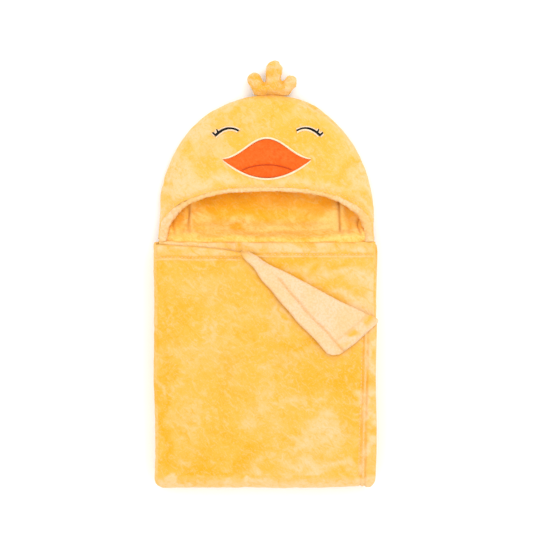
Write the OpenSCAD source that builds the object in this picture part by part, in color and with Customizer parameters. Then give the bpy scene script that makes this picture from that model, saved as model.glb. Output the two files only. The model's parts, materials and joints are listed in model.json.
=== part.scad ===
// Hooded baby towel with a duck's face, folded and laid flat on its back.
// Millimetres. +Z up from the table, +Y from the bottom fold towards the hood, +X to the right.
// The origin is the middle of the whole outline, on the table.

/* [Folded towel] */
// Width of the towel, folded in thirds
fold_w = 254; // [220:1:300]
// Length of the folded towel, from its bottom fold to the neck
fold_l = 279; // [240:1:320]
// Thickness of one layer of plush
ply = 3.2; // [2.6:0.1:3.6]
// Air between two layers
gap = 0.5; // [0.4:0.1:0.8]
// Width of the turned hem
hem_w = 15; // [10:1:20]

/* [Turned corner] */
// Length of top hem that is turned down
corner_w = 161; // [100:1:170]
// Length of side hem that is turned down
corner_h = 68; // [40:1:90]
// How far the top hem of the front layer slopes, in degrees
front_skew = 4; // [0:0.5:6]

/* [Hood] */
// Width of the hood
hood_w = 247; // [220:1:252]
// Length of the hood, from the neck to the crown
hood_l = 166; // [140:1:200]
// Height of the face above the crown seam
hood_rise = 31; // [24:1:36]
// Width of the opening for the face, between the middles of its binding
mouth_w = 233; // [200:1:234]
// How far the middle of the binding reaches up from the neck
mouth_l = 58; // [40:1:70]
// Width of the binding at the top of the opening
rim_top_w = 4.5; // [4:0.5:8]
// Width of the binding where it comes down to the neck
rim_side_w = 9; // [6:0.5:10]

/* [Face] */
// Width of the beak
beak_w = 99; // [80:1:110]
// Height of the beak's top above its corners
beak_up = 23; // [16:1:26]
// Depth of the beak's chin below its corners
beak_down = 21; // [14:1:24]
// Width of the border stitched round the beak
border_w = 2.2; // [1.6:0.1:3]
// Distance from the middle of the face to the inner end of an eye
eye_in = 32.5; // [28:0.5:36]
// Width of an eye
eye_w = 26.5; // [20:0.5:30]

/* [Tuft] */
// Height of the tuft above the crown
tuft_l = 41; // [30:1:50]
// Thickness of the tuft's lobes
lobe_d = 18; // [14:0.5:20]

/* [Hidden] */
$fn = 64;

plush = [1.0, 0.80, 0.36];
plush_inside = [0.99, 0.87, 0.66];
thread_yellow = [0.98, 0.72, 0.22];
orange_felt = [0.98, 0.42, 0.13];
cream = [1.0, 0.93, 0.76];
black_thread = [0.08, 0.08, 0.10];

// The stack of folds. The thirds make a set of three layers, and the set is folded in three.
pitch = ply + gap;
set_t = 3 * ply + 2 * gap;
stack_t = 3 * set_t + 2 * gap;
set_front_z = 2 * (set_t + gap);
set_inside_z = set_t + gap;
bottom_fold_z = stack_t / 2;
upper_fold_z = set_t + gap / 2;

// Places along the towel.
total_l = fold_l + hood_l + tuft_l;
bottom_y = -total_l / 2;
neck_y = bottom_y + fold_l;
crown_y = neck_y + hood_l;
bottom_fold_y = bottom_y + stack_t / 2;
upper_fold_y = neck_y - 2 - upper_fold_z;
inside_end_y = bottom_fold_y + 1;

// The crease of the turned corner runs from the top hem to the side of the front layer.
crease_drop = 89;
crease_l = sqrt(corner_w * corner_w + corner_h * corner_h);
crease_angle = -(atan(corner_h / corner_w) + front_skew);
crease_right = [fold_w / 2 - 0.5, neck_y - crease_drop];
crease_left = crease_right - crease_l * [cos(crease_angle), sin(crease_angle)];
crease_gap = 0.4;
front_layer_z = set_front_z + 2 * pitch;
corner_z = stack_t + 0.3;

// Threads are rows of stitches.
stitch_l = 5;
stitch_pitch = 6.5;
thread_w = 0.9;
thread_t = 0.3;
rim_t = 7.6;
rim_proud = 0.6;
rim_clear = 0.3;

// The hood's outline is a superellipse above dome_y and straight below it.
hood_x = 1;
hood_rx = hood_w / 2;
dome_y = neck_y + 18;
hood_ry = crown_y - dome_y;
dome_n = 2.1;
hood_start_y = neck_y + 1.5;
mouth_start_y = hood_start_y + 1;
neck_lift = 12;
ramp_l = 26;
neck_seam_h = 6;
dome_seam_h = 10;
edge_t = 1.5;
rise_p = 2.6;
rise_q = 0.55;
neck_rise_share = 0.15;
rise_l = 66;
lining_share = 0.84;
ply_gap = 0.3;

mouth_n = 2.55;
face_x = 2;
beak_y = neck_y + 91.5;
eye_y = neck_y + 127;
skin_gap = 0.05;
patch_t = 1.2;
backing_t = 0.6;
stitch_t = 0.7;

tuft_x = 6;
tuft_z = 11;

function smooth(t) = let (c = min(1, max(0, t))) c * c * (3 - 2 * c);
function mix(a, b, t) = a + (b - a) * t;

// How near a point of the hood is to its outline: 0 in the middle, 1 on the outline.
function reach(x, y) = pow(
    pow(abs(x - hood_x) / hood_rx, dome_n) + pow(max(0, y - dome_y) / hood_ry, dome_n),
    1 / dome_n);

// Half the hood's width at y, or half the width of a smaller outline, at a share of the hood's reach.
function half_w(y, share = 1) = hood_rx
    * pow(max(0, pow(share, dome_n) - pow(max(0, y - dome_y) / hood_ry, dome_n)), 1 / dome_n);

// The hood's underside climbs to the neck seam near the neck.
function lift(y) = neck_lift * (1 - smooth((y - hood_start_y) / ramp_l));
function seam_z(y) = lift(y) + mix(neck_seam_h, dome_seam_h, smooth((y - hood_start_y) / ramp_l));

function front_z(x, y) = seam_z(y) + edge_t
    + hood_rise * mix(neck_rise_share, 1, smooth((y - neck_y) / rise_l))
    * pow(max(0, 1 - pow(reach(x, y), rise_p)), rise_q);
function back_z(x, y) = mix(lift(y), seam_z(y) - edge_t, smooth((reach(x, y) - 0.84) / 0.16));

// A closed solid between two grids of points, given as rows of points with X along a row.
module slab(top, bottom) {
    rows = len(top);
    cols = len(top[0]);
    n = rows * cols;
    points = concat([for (row = top) each row], [for (row = bottom) each row]);
    function at(r, c) = r * cols + c;
    // Two triangles of the quadrilateral a, b, c, d.
    function two(a, b, c, d) = [[a, b, c], [a, c, d]];
    // The wall below the top's edge from point a to point b.
    function wall(a, b) = two(a, b, n + b, n + a);
    faces = concat(
        [for (r = [0 : rows - 2], c = [0 : cols - 2])
            each two(at(r, c), at(r + 1, c), at(r + 1, c + 1), at(r, c + 1))],
        [for (r = [0 : rows - 2], c = [0 : cols - 2])
            each two(n + at(r, c), n + at(r, c + 1), n + at(r + 1, c + 1), n + at(r + 1, c))],
        [for (c = [0 : cols - 2]) each concat(
            wall(at(0, c), at(0, c + 1)),
            wall(at(rows - 1, c + 1), at(rows - 1, c)))],
        [for (r = [0 : rows - 2]) each concat(
            wall(at(r + 1, 0), at(r, 0)),
            wall(at(r, cols - 1), at(r + 1, cols - 1)))]);
    polyhedron(points, faces);
}

function unit(v) = v / norm(v);

// The direction of a path at its point i.
function heading(path, i, closed) = let (n = len(path))
    closed ? unit(path[(i + 1) % n] - path[(i + n - 1) % n])
    : unit(path[min(n - 1, i + 1)] - path[max(0, i - 1)]);

// A solid swept along a path. sections holds one ring of corners for each point of the path.
module sweep(sections, closed = false) {
    n = len(sections);
    k = len(sections[0]);
    spans = closed ? n : n - 1;
    function at(i, c) = (i % n) * k + c % k;
    sides = [for (i = [0 : spans - 1], c = [0 : k - 1])
        each [[at(i, c), at(i, c + 1), at(i + 1, c + 1)], [at(i, c), at(i + 1, c + 1), at(i + 1, c)]]];
    start_cap = [for (c = [1 : k - 2]) [0, c + 1, c]];
    end_cap = [for (c = [1 : k - 2]) [(n - 1) * k, (n - 1) * k + c, (n - 1) * k + c + 1]];
    polyhedron([for (s = sections) each s], closed ? sides : concat(sides, start_cap, end_cap));
}

// A flat bar laid on the face along a path, from left to right of it, between two heights above the face.
module laid_bar(path, left, right, low, high, closed = false) {
    function corner(p, side, h) = [p.x + side.x, p.y + side.y, front_z(p.x + side.x, p.y + side.y) + h];
    sections = [for (i = [0 : len(path) - 1])
        let (d = heading(path, i, closed), l = [-d.y, d.x] * left, r = [-d.y, d.x] * right, p = path[i])
        [corner(p, l, low), corner(p, r, low), corner(p, r, high), corner(p, l, high)]];
    sweep(sections, closed);
}

// A row of stitches lying on a level, from one point to another.
module stitch_row(from, to, z) {
    way = to - from;
    turn = atan2(way.y, way.x);
    for (s = [0 : stitch_pitch : norm(way) - stitch_l])
        translate([from.x, from.y, z]) rotate([0, 0, turn])
            translate([s, -thread_w / 2, 0]) cube([stitch_l, thread_w, thread_t]);
}

// ---- The towel's own sheet ----

// Half of a ring, on the side of -X.
module half_ring(outer, inner) {
    difference() {
        circle(outer);
        circle(inner);
        translate([0, -2 * outer]) square([2 * outer, 4 * outer]);
    }
}

// The sheet folded in thirds, seen from its end: centre third below, then the right third, then the left.
module thirds() {
    right_r = (pitch + ply) / 2;
    left_x = -fold_w / 2 + set_t / 2;
    right_x = fold_w / 2 - 1 - right_r;
    translate([left_x, 0]) square([right_x - left_x, ply]);
    translate([left_x + 1, pitch]) square([right_x - left_x - 1, ply]);
    translate([left_x, 2 * pitch]) square([fold_w / 2 - left_x, ply]);
    translate([left_x, set_t / 2]) half_ring(set_t / 2, set_t / 2 - ply);
    translate([right_x, right_r]) mirror([1, 0]) half_ring(right_r, gap / 2);
}

// A flat run of the folded sheet from y = from down to y = to.
module run(from, to) {
    translate([0, from, 0]) rotate([90, 0, 0]) linear_extrude(from - to) thirds();
}

// A half turn of the folded sheet towards +Y, about the X axis, whose inmost layer starts at radius r.
module turn(r) {
    rotate([0, 90, 0]) rotate_extrude(angle = 180) translate([r, 0]) mirror([1, -1]) thirds();
}

// What the turned corner and the sloping hem leave away from the front layer.
module front_layer_cut() {
    slope = tan(front_skew);
    left_y = crease_left.y + (crease_left.x + fold_w / 2 + 9) * slope;
    translate([0, 0, front_layer_z - gap / 2]) linear_extrude(ply + gap)
        polygon([[-fold_w / 2 - 9, left_y], crease_left, crease_right,
            [fold_w / 2 + 9, crease_right.y], [fold_w / 2 + 9, neck_y + 9], [-fold_w / 2 - 9, neck_y + 9]]);
}

module body_panel() {
    color(plush) difference() {
        union() {
            translate([0, 0, set_front_z]) run(neck_y, bottom_fold_y);
            translate([0, 0, set_inside_z]) run(upper_fold_y, inside_end_y);
            translate([0, 0, set_t]) mirror([0, 0, 1]) run(upper_fold_y, bottom_fold_y);
            translate([0, bottom_fold_y, bottom_fold_z]) mirror([0, 1, 0]) turn(set_front_z - bottom_fold_z);
            translate([0, upper_fold_y, upper_fold_z]) turn(set_inside_z - upper_fold_z);
        }
        front_layer_cut();
    }
}

module front_hem_thread() {
    down = hem_w * [sin(front_skew), -cos(front_skew)];
    left_end = crease_left + (crease_left.x + fold_w / 2 - 6) * [-1, tan(front_skew)];
    color(thread_yellow) stitch_row(left_end + down, crease_left + down - [6, 0], stack_t);
}

module side_hem_thread() {
    x = fold_w / 2 - hem_w;
    color(thread_yellow) stitch_row([x, crease_right.y - 20], [x - 2, bottom_fold_y], stack_t);
}

module under_hem_thread() {
    y = neck_y - hem_w;
    color(thread_yellow) stitch_row([crease_left.x + 22, y], [fold_w / 2 - 6, y], front_layer_z - gap);
}

module neck_tape() {
    tape = [mouth_w - 8, 0.9, 7];
    below = 2.4;
    color(plush) translate([hood_x - tape.x / 2, neck_y + skin_gap, set_front_z - below]) cube(tape);
}

module care_label() {
    label = [24, 40, 0.3];
    color("white") translate([hood_x - label.x / 2, neck_y - 1 - label.y, set_front_z + ply + 0.1])
        cube(label);
}

// ---- The corner that is turned down ----

// The turned corner's outline, from the crease to the tip where its two hems meet.
module corner_outline() {
    along = corner_w * corner_w / crease_l;
    out = corner_w * corner_h / crease_l;
    tip_r = 5;
    offset(r = tip_r) offset(delta = -tip_r)
        polygon([[0, -crease_gap], [crease_l, -crease_gap], [along, -out]]);
}

module corner_panel() {
    color(plush_inside) translate([crease_left.x, crease_left.y, corner_z])
        rotate([0, 0, crease_angle]) linear_extrude(ply) corner_outline();
}

module corner_hem_thread() {
    along = corner_w * corner_w / crease_l;
    out = corner_w * corner_h / crease_l;
    tip = [along, -out];
    top_way = unit(tip);
    side_way = unit([crease_l, 0] - tip);
    inner_tip = tip - hem_w * top_way + hem_w * side_way;
    color(thread_yellow) translate([crease_left.x, crease_left.y, 0]) rotate([0, 0, crease_angle]) {
        stitch_row(inner_tip - (corner_w - 3.4 * hem_w) * top_way, inner_tip, corner_z + ply);
        stitch_row(inner_tip + 3 * side_way, inner_tip + (corner_h - 2 * hem_w) * side_way, corner_z + ply);
    }
}

// ---- The hood ----

// The back is laid out in rows from the neck to the crown, close together at both ends.
back_rows = 28;
back_cols = 28;
back_y = [for (r = [0 : back_rows]) mix(hood_start_y, crown_y - 0.6, (1 - cos(180 * r / back_rows)) / 2)];

// Points of the back at a height above its underside, within a share of the hood's reach.
function back_grid(share, above) = [for (y = back_y) if (y < dome_y + share * hood_ry - 0.5)
    [for (c = [0 : back_cols]) let (x = hood_x - half_w(y, share) * cos(180 * c / back_cols))
        [x, y, min(seam_z(y), back_z(x, y) + above)]]];

module hood_back_shell() {
    color(plush) slab(back_grid(1, ply), back_grid(1, 0));
}

module hood_back_lining() {
    color(plush) slab(back_grid(lining_share, 2 * ply + ply_gap), back_grid(lining_share, ply + ply_gap));
}

// The middle of the opening's binding at a turn from 0, left, to 180, right.
function mouth(a) = let (c = cos(a), s = sin(a))
    [hood_x - mouth_w / 2 * sign(c) * pow(abs(c), 2 / mouth_n),
        mouth_start_y + (neck_y + mouth_l - mouth_start_y) * pow(abs(s), 2 / mouth_n)];

// The way out from the opening at the same turn, and the binding's width there.
function way_out(a) = let (d = unit(mouth(min(180, a + 1)) - mouth(max(0, a - 1)))) [-d.y, d.x];
function rim_w(a) = mix(rim_side_w, rim_top_w, pow(sin(a), 2));

// The hood's outline at the same turn.
function outline(a) = let (y = mix(mouth_start_y, crown_y, pow(abs(sin(a)), 1.05)))
    [hood_x - sign(cos(a)) * half_w(min(y, crown_y - 0.01)), y];

front_cols = 44;
front_rows = 12;

// Points of the front, row by row from the binding to the outline, and turn by turn along a row.
function front_grid(turns, last, below) = [for (r = [0 : last])
    [for (c = [0 : front_cols])
        let (a = mix(turns[0], turns[1], c / front_cols),
            edge = mouth(a) + way_out(a) * (rim_w(a) / 2 + 0.2),
            p = mix(edge, outline(a), 1 - pow(1 - r / front_rows, 1.5)))
        [p.x, p.y, max(seam_z(p.y) + ply_gap, front_z(p.x, p.y) - below)]]];

module hood_front_shell() {
    all = [0, 180];
    color(plush) slab(front_grid(all, front_rows, 0), front_grid(all, front_rows, ply));
}

module hood_front_lining() {
    last = front_rows - 4;
    roomy = [36, 144];
    color(plush) slab(front_grid(roomy, last, ply + ply_gap), front_grid(roomy, last, 2 * ply + ply_gap));
}

module hood_rim_binding() {
    corners = 12;
    steps = 56;
    sections = [for (i = [0 : steps])
        let (a = 180 * i / steps, p = mouth(a), out = way_out(a),
            t = min(rim_t, front_z(p.x, p.y) + rim_proud - seam_z(p.y) - rim_clear),
            z = front_z(p.x, p.y) + rim_proud - t / 2)
        [for (k = [0 : corners - 1])
            let (w = -rim_w(a) / 2 * cos(360 * k / corners), h = t / 2 * sin(360 * k / corners))
            [p.x + out.x * w, p.y + out.y * w, z + h]]];
    color(plush) sweep(sections);
}

module hood_rim_thread() {
    stitches = 46;
    turns = [24, 156];
    step = (turns[1] - turns[0]) / stitches;
    function beside(a) = mouth(a) + way_out(a) * (rim_w(a) / 2 + 3);
    color(thread_yellow) for (i = [0 : stitches - 1]) {
        a = turns[0] + i * step;
        laid_bar([beside(a), beside(a + 0.7 * step)], thread_w / 2, -thread_w / 2, skin_gap,
            skin_gap + thread_t);
    }
}

// ---- The face ----

// The beak's outline, clockwise from its left corner over the top.
function beak_top(t) = [face_x - 1 + t * beak_w / 2, beak_y + beak_up * (1 + cos(180 * t)) / 2];
function beak_chin(t) = [face_x - 1 + t * beak_w / 2, beak_y - beak_down * (1 - t * t)];
beak_steps = 24;
beak_loop = concat(
    [for (i = [0 : beak_steps]) beak_top(-1 + 2 * i / beak_steps)],
    [for (i = [1 : beak_steps - 1]) beak_chin(1 - 2 * i / beak_steps)]);

module beak_patch() {
    rows = 8;
    corner_share = 0.985;
    function grid(above) = [for (r = [0 : rows])
        [for (i = [0 : beak_steps])
            let (t = corner_share * (-1 + 2 * i / beak_steps), p = mix(beak_chin(t), beak_top(t), r / rows))
            [p.x, p.y, front_z(p.x, p.y) + above]]];
    color(orange_felt) slab(grid(patch_t), grid(skin_gap));
}

module beak_edging() {
    color(cream) laid_bar(beak_loop, border_w, 0.3, skin_gap, patch_t + 0.3, closed = true);
}

module mouth_stitching() {
    half = 26;
    path = [for (i = [0 : 16]) let (t = -1 + i / 8) [face_x - 3 + t * half, beak_y - 6.5 - 3.6 * t * t]];
    color([0.85, 0.28, 0.06]) laid_bar(path, 0.5, -0.5, patch_t + 0.25, patch_t + 0.7);
}

// The lines of one eye, in the middle of the face's own frame: the lid, then two lashes. side is -1 or 1.
function lid(side) = [for (i = [0 : 12]) let (s = i / 12, u = (s - 0.38) / 0.62)
    [face_x + side * (eye_in + eye_w * s), eye_y - 8.4 * u * u]];
function lashes(side) = [
    [[face_x + side * (eye_in + 23.6), eye_y - 3.2], [face_x + side * (eye_in + 25.4), eye_y - 0.6]],
    [[face_x + side * (eye_in + 27.2), eye_y - 6.6], [face_x + side * (eye_in + 30.0), eye_y - 4.6]]];

module eye(side, width, low, high) {
    laid_bar(lid(side), width / 2, -width / 2, low, high);
    for (lash = lashes(side)) laid_bar(lash, width / 2, -width / 2, low, high);
}

module eye_backing(side) {
    color(cream) eye(side, 2.2, skin_gap, skin_gap + backing_t);
}

module eye_stitching(side) {
    low = skin_gap + backing_t + 0.02;
    color(black_thread) eye(side, 1.6, low, low + stitch_t);
}

// ---- The tuft ----

// The tuft's lobes as [base x, base y, tip x, tip y], from the middle of its seam.
tuft_lobes = [[-12, 12, -19, 17], [0, 10, 1, tuft_l - lobe_d / 2], [12, 12, 19, 15]];
tuft_root_w = 38;
tuft_root_t = 4;

// The tuft's outer shape, made smaller all round by inset.
module tuft_shape(inset) {
    r = lobe_d / 2 - inset;
    translate([tuft_x, crown_y, tuft_z]) for (l = tuft_lobes) {
        hull() {
            translate([l[0], l[1], 0]) sphere(r, $fn = 22);
            translate([l[2], l[3], 0]) sphere(r, $fn = 22);
        }
        hull() {
            translate([l[0], l[1], 0]) sphere(r, $fn = 22);
            translate([-tuft_root_w / 2 + inset, 1 + inset, -tuft_root_t / 2 + inset / 2])
                cube([tuft_root_w - 2 * inset, 1, tuft_root_t - inset]);
        }
    }
}

// The upper or lower half of space about the tuft's seam.
module half_space(side) {
    size = 90;
    translate([tuft_x - size / 2, crown_y - 10, side > 0 ? tuft_z : tuft_z - size]) cube(size);
}

module tuft_ply(side) {
    intersection() {
        difference() {
            tuft_shape(0);
            tuft_shape(2);
        }
        half_space(side);
    }
}

module tuft_front() {
    color(plush) tuft_ply(1);
}

module tuft_back() {
    color(plush) tuft_ply(-1);
}

module tuft_filling() {
    color("white") tuft_shape(2.2);
}

body_panel();
front_hem_thread();
side_hem_thread();
under_hem_thread();
neck_tape();
care_label();
corner_panel();
corner_hem_thread();
hood_back_shell();
hood_back_lining();
hood_front_shell();
hood_front_lining();
hood_rim_binding();
hood_rim_thread();
beak_patch();
beak_edging();
mouth_stitching();
eye_backing(-1);  // left_eye_backing
eye_stitching(-1);  // left_eye_stitching
eye_backing(1);  // right_eye_backing
eye_stitching(1);  // right_eye_stitching
tuft_front();
tuft_back();
tuft_filling();
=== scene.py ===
"""The looks of the folded hooded baby towel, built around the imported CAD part.

Shapes are worked out in millimetres in the part's frame and turned into metres when a mesh is made.
"""

import json
import math

import bpy
import bmesh
import numpy as np
from mathutils import Matrix, Vector
from mathutils.bvhtree import BVHTree


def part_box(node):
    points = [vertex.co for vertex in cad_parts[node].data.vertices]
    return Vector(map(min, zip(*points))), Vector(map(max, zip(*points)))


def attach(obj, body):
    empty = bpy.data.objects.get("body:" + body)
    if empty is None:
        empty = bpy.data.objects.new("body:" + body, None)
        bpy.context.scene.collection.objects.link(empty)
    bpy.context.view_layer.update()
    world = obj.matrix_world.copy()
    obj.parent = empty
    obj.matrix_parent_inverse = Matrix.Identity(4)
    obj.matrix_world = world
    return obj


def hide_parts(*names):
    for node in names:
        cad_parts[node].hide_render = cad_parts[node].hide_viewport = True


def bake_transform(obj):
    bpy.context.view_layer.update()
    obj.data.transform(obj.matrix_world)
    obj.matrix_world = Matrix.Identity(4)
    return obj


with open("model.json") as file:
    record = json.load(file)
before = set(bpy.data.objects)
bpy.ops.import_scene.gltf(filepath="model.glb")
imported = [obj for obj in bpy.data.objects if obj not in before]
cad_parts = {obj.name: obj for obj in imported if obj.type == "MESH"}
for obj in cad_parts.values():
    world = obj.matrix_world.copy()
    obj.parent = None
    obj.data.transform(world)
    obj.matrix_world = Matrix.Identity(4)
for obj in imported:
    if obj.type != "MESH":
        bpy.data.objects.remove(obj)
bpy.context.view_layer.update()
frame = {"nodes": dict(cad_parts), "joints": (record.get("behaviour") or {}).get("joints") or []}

MM = 0.001
joints = {j["name"]: j for j in frame["joints"]}


# ---------------------------------------------------------------- sizes, from the frame


def node_box(node):
    """A CAD node's lowest and highest corner, in millimetres."""
    low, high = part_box(node)
    return np.array(low) / MM, np.array(high) / MM


body_low, body_high = node_box("body_panel")
corner_low, corner_high = node_box("corner_panel")
_, hood_high = node_box("hood_front_shell")
back_low, back_high = node_box("hood_back_shell")

LAYERS = 9
HALF_W = body_high[0]
NECK_Y = body_high[1]
BOTTOM_Y = body_low[1]
STACK_T = body_high[2]
PLY = corner_high[2] - corner_low[2]
HALF = PLY / 2
GAP = (STACK_T - LAYERS * PLY) / (LAYERS - 1)
PITCH = PLY + GAP
SET_T = 3 * PLY + 2 * GAP
INSIDE_Z = SET_T + GAP
FRONT_Z = 2 * INSIDE_Z
HEM_W = 15

BOTTOM_FOLD_Z = STACK_T / 2
BOTTOM_FOLD_Y = BOTTOM_Y + STACK_T / 2
UPPER_FOLD_Z = SET_T + GAP / 2
UPPER_FOLD_Y = NECK_Y - 2 - UPPER_FOLD_Z
INSIDE_END_Y = BOTTOM_FOLD_Y + 1

# The crease of the turned corner: its left end, its way, and the way from it towards the corner's tip.
CREASE_START = np.array(joints["corner_turn"]["pos_m"]) / MM
CREASE_WAY = -np.array(joints["corner_turn"]["axis"])[:2]
CREASE_IN = np.array([CREASE_WAY[1], -CREASE_WAY[0]])
CREASE_L = (HALF_W - 0.5 - CREASE_START[0]) / CREASE_WAY[0]
CREASE_END = CREASE_START[:2] + CREASE_L * CREASE_WAY
FRONT_SKEW = math.radians(4)
TOP_WAY = np.array([math.cos(FRONT_SKEW), -math.sin(FRONT_SKEW)])
CORNER_W = CREASE_L * float(TOP_WAY @ CREASE_WAY)
CORNER_H = math.sqrt(CREASE_L**2 - CORNER_W**2)

# The hood. These follow the same formulas as the CAD hood.
HOOD_X = (back_low[0] + back_high[0]) / 2
HOOD_RX = (back_high[0] - back_low[0]) / 2
CROWN_Y = hood_high[1]
DOME_Y = NECK_Y + 18
HOOD_RY = CROWN_Y - DOME_Y
DOME_N = 2.1
HOOD_START_Y = back_low[1]
NECK_LIFT = 12
RAMP_L = 26
NECK_SEAM_H = 6
DOME_SEAM_H = 10
EDGE_T = 1.5
HOOD_RISE = hood_high[2] - DOME_SEAM_H - EDGE_T
MOUTH_W = 233
MOUTH_L = 58
MOUTH_N = 2.55
MOUTH_TOP_Y = NECK_Y + MOUTH_L
FACE_X = HOOD_X + 1
BEAK_Y = NECK_Y + 91.5
EYE_Y = NECK_Y + 127
TUFT_X, CROWN_SEAM_Y, TUFT_Z = np.array(joints["tuft_flex"]["pos_m"]) / MM


# ---------------------------------------------------------------- numbers and noise


FAR = 99.0  # a distance that stands for nowhere near


def unit(v):
    """A value kept between 0 and 1."""
    return np.clip(v, 0, 1)


def smooth(t):
    """An eased step from 0 to 1, while t goes from 0 to 1."""
    t = unit(t)
    return t * t * (3 - 2 * t)


def mix(a, b, t):
    """A value a share t of the way from a to b."""
    return a + (b - a) * t


def bump(x, middle, width):
    """A soft ridge of height 1 about middle."""
    return np.exp(-(((x - middle) / width) ** 2))


class Waves:
    """Smooth seeded noise of about -1 to 1, a sum of plane waves near one wavelength."""

    def __init__(self, seed, wavelength, stretch=(1, 1, 1), count=28):
        r = np.random.default_rng(seed)
        way = r.normal(size=(count, 3))
        way /= np.linalg.norm(way, axis=1)[:, None]
        length = wavelength * r.uniform(0.65, 1.6, count)
        self.k = way * (2 * math.pi / length)[:, None] / np.array(stretch)
        self.phase = r.uniform(0, 2 * math.pi, count)
        self.scale = 1.2 / math.sqrt(count)

    def __call__(self, x, y, z=0.0):
        x, y, z = np.broadcast_arrays(np.asarray(x, float), y, z)
        total = np.zeros(x.shape)
        for k, p in zip(self.k, self.phase):
            total += np.sin(k[0] * x + k[1] * y + k[2] * z + p)
        return total * self.scale


warp = Waves(1, 46)
warp_fine = Waves(2, 13)


def painted(x, y, patches, raggedness=9.0):
    """Soft ragged patches, each (middle x, middle y, half width, half length, strength)."""
    u = x + raggedness * warp(x, y) + 0.3 * raggedness * warp_fine(x, y)
    v = y + raggedness * warp(x, y, 90) + 0.3 * raggedness * warp_fine(x, y, 90)
    return sum(s * np.exp(-(((u - a) / p) ** 2) - ((v - b) / q) ** 2) for a, b, p, q, s in patches)


# ---------------------------------------------------------------- meshes


def make_object(name, points, faces, material, attributes=None, smooth_shading=True):
    """A mesh object from points in millimetres."""
    mesh = bpy.data.meshes.new(name)
    mesh.from_pydata([tuple(p) for p in np.asarray(points) * MM], [], [tuple(f) for f in faces])
    mesh.validate()
    mesh.update()
    for key, values in (attributes or {}).items():
        layer = mesh.attributes.new(key, "FLOAT", "POINT")
        layer.data.foreach_set("value", np.asarray(values, np.float32).ravel())
    if smooth_shading:
        mesh.polygons.foreach_set("use_smooth", [True] * len(mesh.polygons))
    mesh.materials.append(material)
    obj = bpy.data.objects.new(name, mesh)
    bpy.context.scene.collection.objects.link(obj)
    return obj


def entitle(piece, slot, *nodes):
    """Hides the CAD nodes that a piece stands for; slot, its finish, is not used."""
    if nodes:
        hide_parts(*nodes)


def settle(piece, body, slot, *nodes):
    """Puts a piece on its body."""
    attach(piece, body)
    entitle(piece, slot, *nodes)


def sew(piece, bodies, seam_y, bend, slot, *nodes):
    """Bakes a piece's place into its mesh and hides the CAD nodes that it stands for. bodies, seam_y, bend
    and slot are not used.
    """
    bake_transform(piece)
    entitle(piece, slot, *nodes)


def grid_normals(p):
    """Unit normals of a grid of points, from its neighbours."""
    n = np.cross(np.gradient(p, axis=1), np.gradient(p, axis=0))
    return n / np.maximum(np.linalg.norm(n, axis=2, keepdims=True), 1e-9)


def facing_up(mid, cols=None):
    """Unit normals of a grid of points, turned so that its first columns, or all of it, face up."""
    normal = grid_normals(mid)
    return normal * np.sign(normal[:, :cols, 2].mean())


def cloth(name, mid, normal, over, under, material, attributes=None, floor=None):
    """A closed sheet about a grid of points. over and under are its half thicknesses, 0 all round the edge.

    The two faces share the points of the edge. An attribute is an array, or a pair of them for above and
    below, and is kept between 0 and 1.
    """
    rows, cols = mid.shape[:2]
    top = mid + normal * np.maximum(over, 0)[..., None]
    bottom = mid - normal * under[..., None]
    if floor is not None:
        top[..., 2] = np.maximum(top[..., 2], floor)
        bottom[..., 2] = np.maximum(bottom[..., 2], floor)
    index_top = np.arange(rows * cols).reshape(rows, cols)
    index_bottom = index_top.copy()
    inner = np.zeros((rows, cols), bool)
    inner[1:-1, 1:-1] = True
    index_bottom[inner] = rows * cols + np.arange(int(inner.sum()))
    points = np.concatenate([top.reshape(-1, 3), bottom[inner]])

    def quads(i, flip):
        a, b, c, d = i[:-1, :-1], i[:-1, 1:], i[1:, 1:], i[1:, :-1]
        order = (a, d, c, b) if flip else (a, b, c, d)
        return np.stack([q.ravel() for q in order], axis=1)

    ahead = np.cross(mid[1, 0] - mid[0, 0], mid[0, 1] - mid[0, 0]) @ normal[0, 0] > 0
    faces = np.concatenate([quads(index_top, bool(ahead)), quads(index_bottom, not ahead)])
    values = {}
    for key, value in (attributes or {}).items():
        above, below = value if isinstance(value, tuple) else (value, value)
        values[key] = unit(np.concatenate([above.ravel(), below[inner]]))
    return make_object(name, points, faces, material, values)


def edge_round(distance, half=HALF):
    """The share of a sheet's half thickness at a distance from its edge, for a round edge."""
    t = unit(distance / half)
    return np.sqrt(np.maximum(0, 1 - (1 - t) ** 2))


def stations(length, step, start_edge=None, end_edge=None, fine=(), fine_step=1.2):
    """Places from 0 to length: crowded at a round edge, fine_step apart inside the stretches of fine."""
    places = [0.0]
    while places[-1] < length:
        at = places[-1]
        near = any(a - 1e-6 <= at < b for a, b in fine)
        places.append(at + (fine_step if near else step))
    places = np.array(places) * (length / places[-1])
    crowd = np.array([0.06, 0.25, 0.6])  # shares of the round edge's own length
    extra = []
    if start_edge:
        extra += list(crowd * start_edge)
    if end_edge:
        extra += list(length - crowd * end_edge)
    merged = np.sort(np.concatenate([places, extra]))
    keep = np.concatenate([[True], np.diff(merged) > 1e-4])
    return merged[keep]


class Skin:
    """The upper side of some pieces: where it is at a place, and which way it faces."""

    def __init__(self, *pieces):
        joined = bmesh.new()
        for piece in pieces:
            joined.from_mesh(piece.data)
        self.tree = BVHTree.FromBMesh(joined)
        joined.free()

    def drop(self, xy):
        """Points and normals under each place of an array of x and y."""
        xy = np.asarray(xy, float)
        flat = xy.reshape(-1, 2)
        points, normals = np.zeros((len(flat), 3)), np.zeros((len(flat), 3))
        for i, (x, y) in enumerate(flat):
            hit, normal, _, _ = self.tree.ray_cast(Vector((x * MM, y * MM, 1)), Vector((0, 0, -1)))
            if hit is None:
                hit, normal, _, _ = self.tree.find_nearest(Vector((x * MM, y * MM, STACK_T * MM)))
            points[i] = (x, y, hit.z / MM)
            normals[i] = normal if normal.z > 0 else -normal
        return points.reshape(*xy.shape[:-1], 3), normals.reshape(*xy.shape[:-1], 3)


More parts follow.
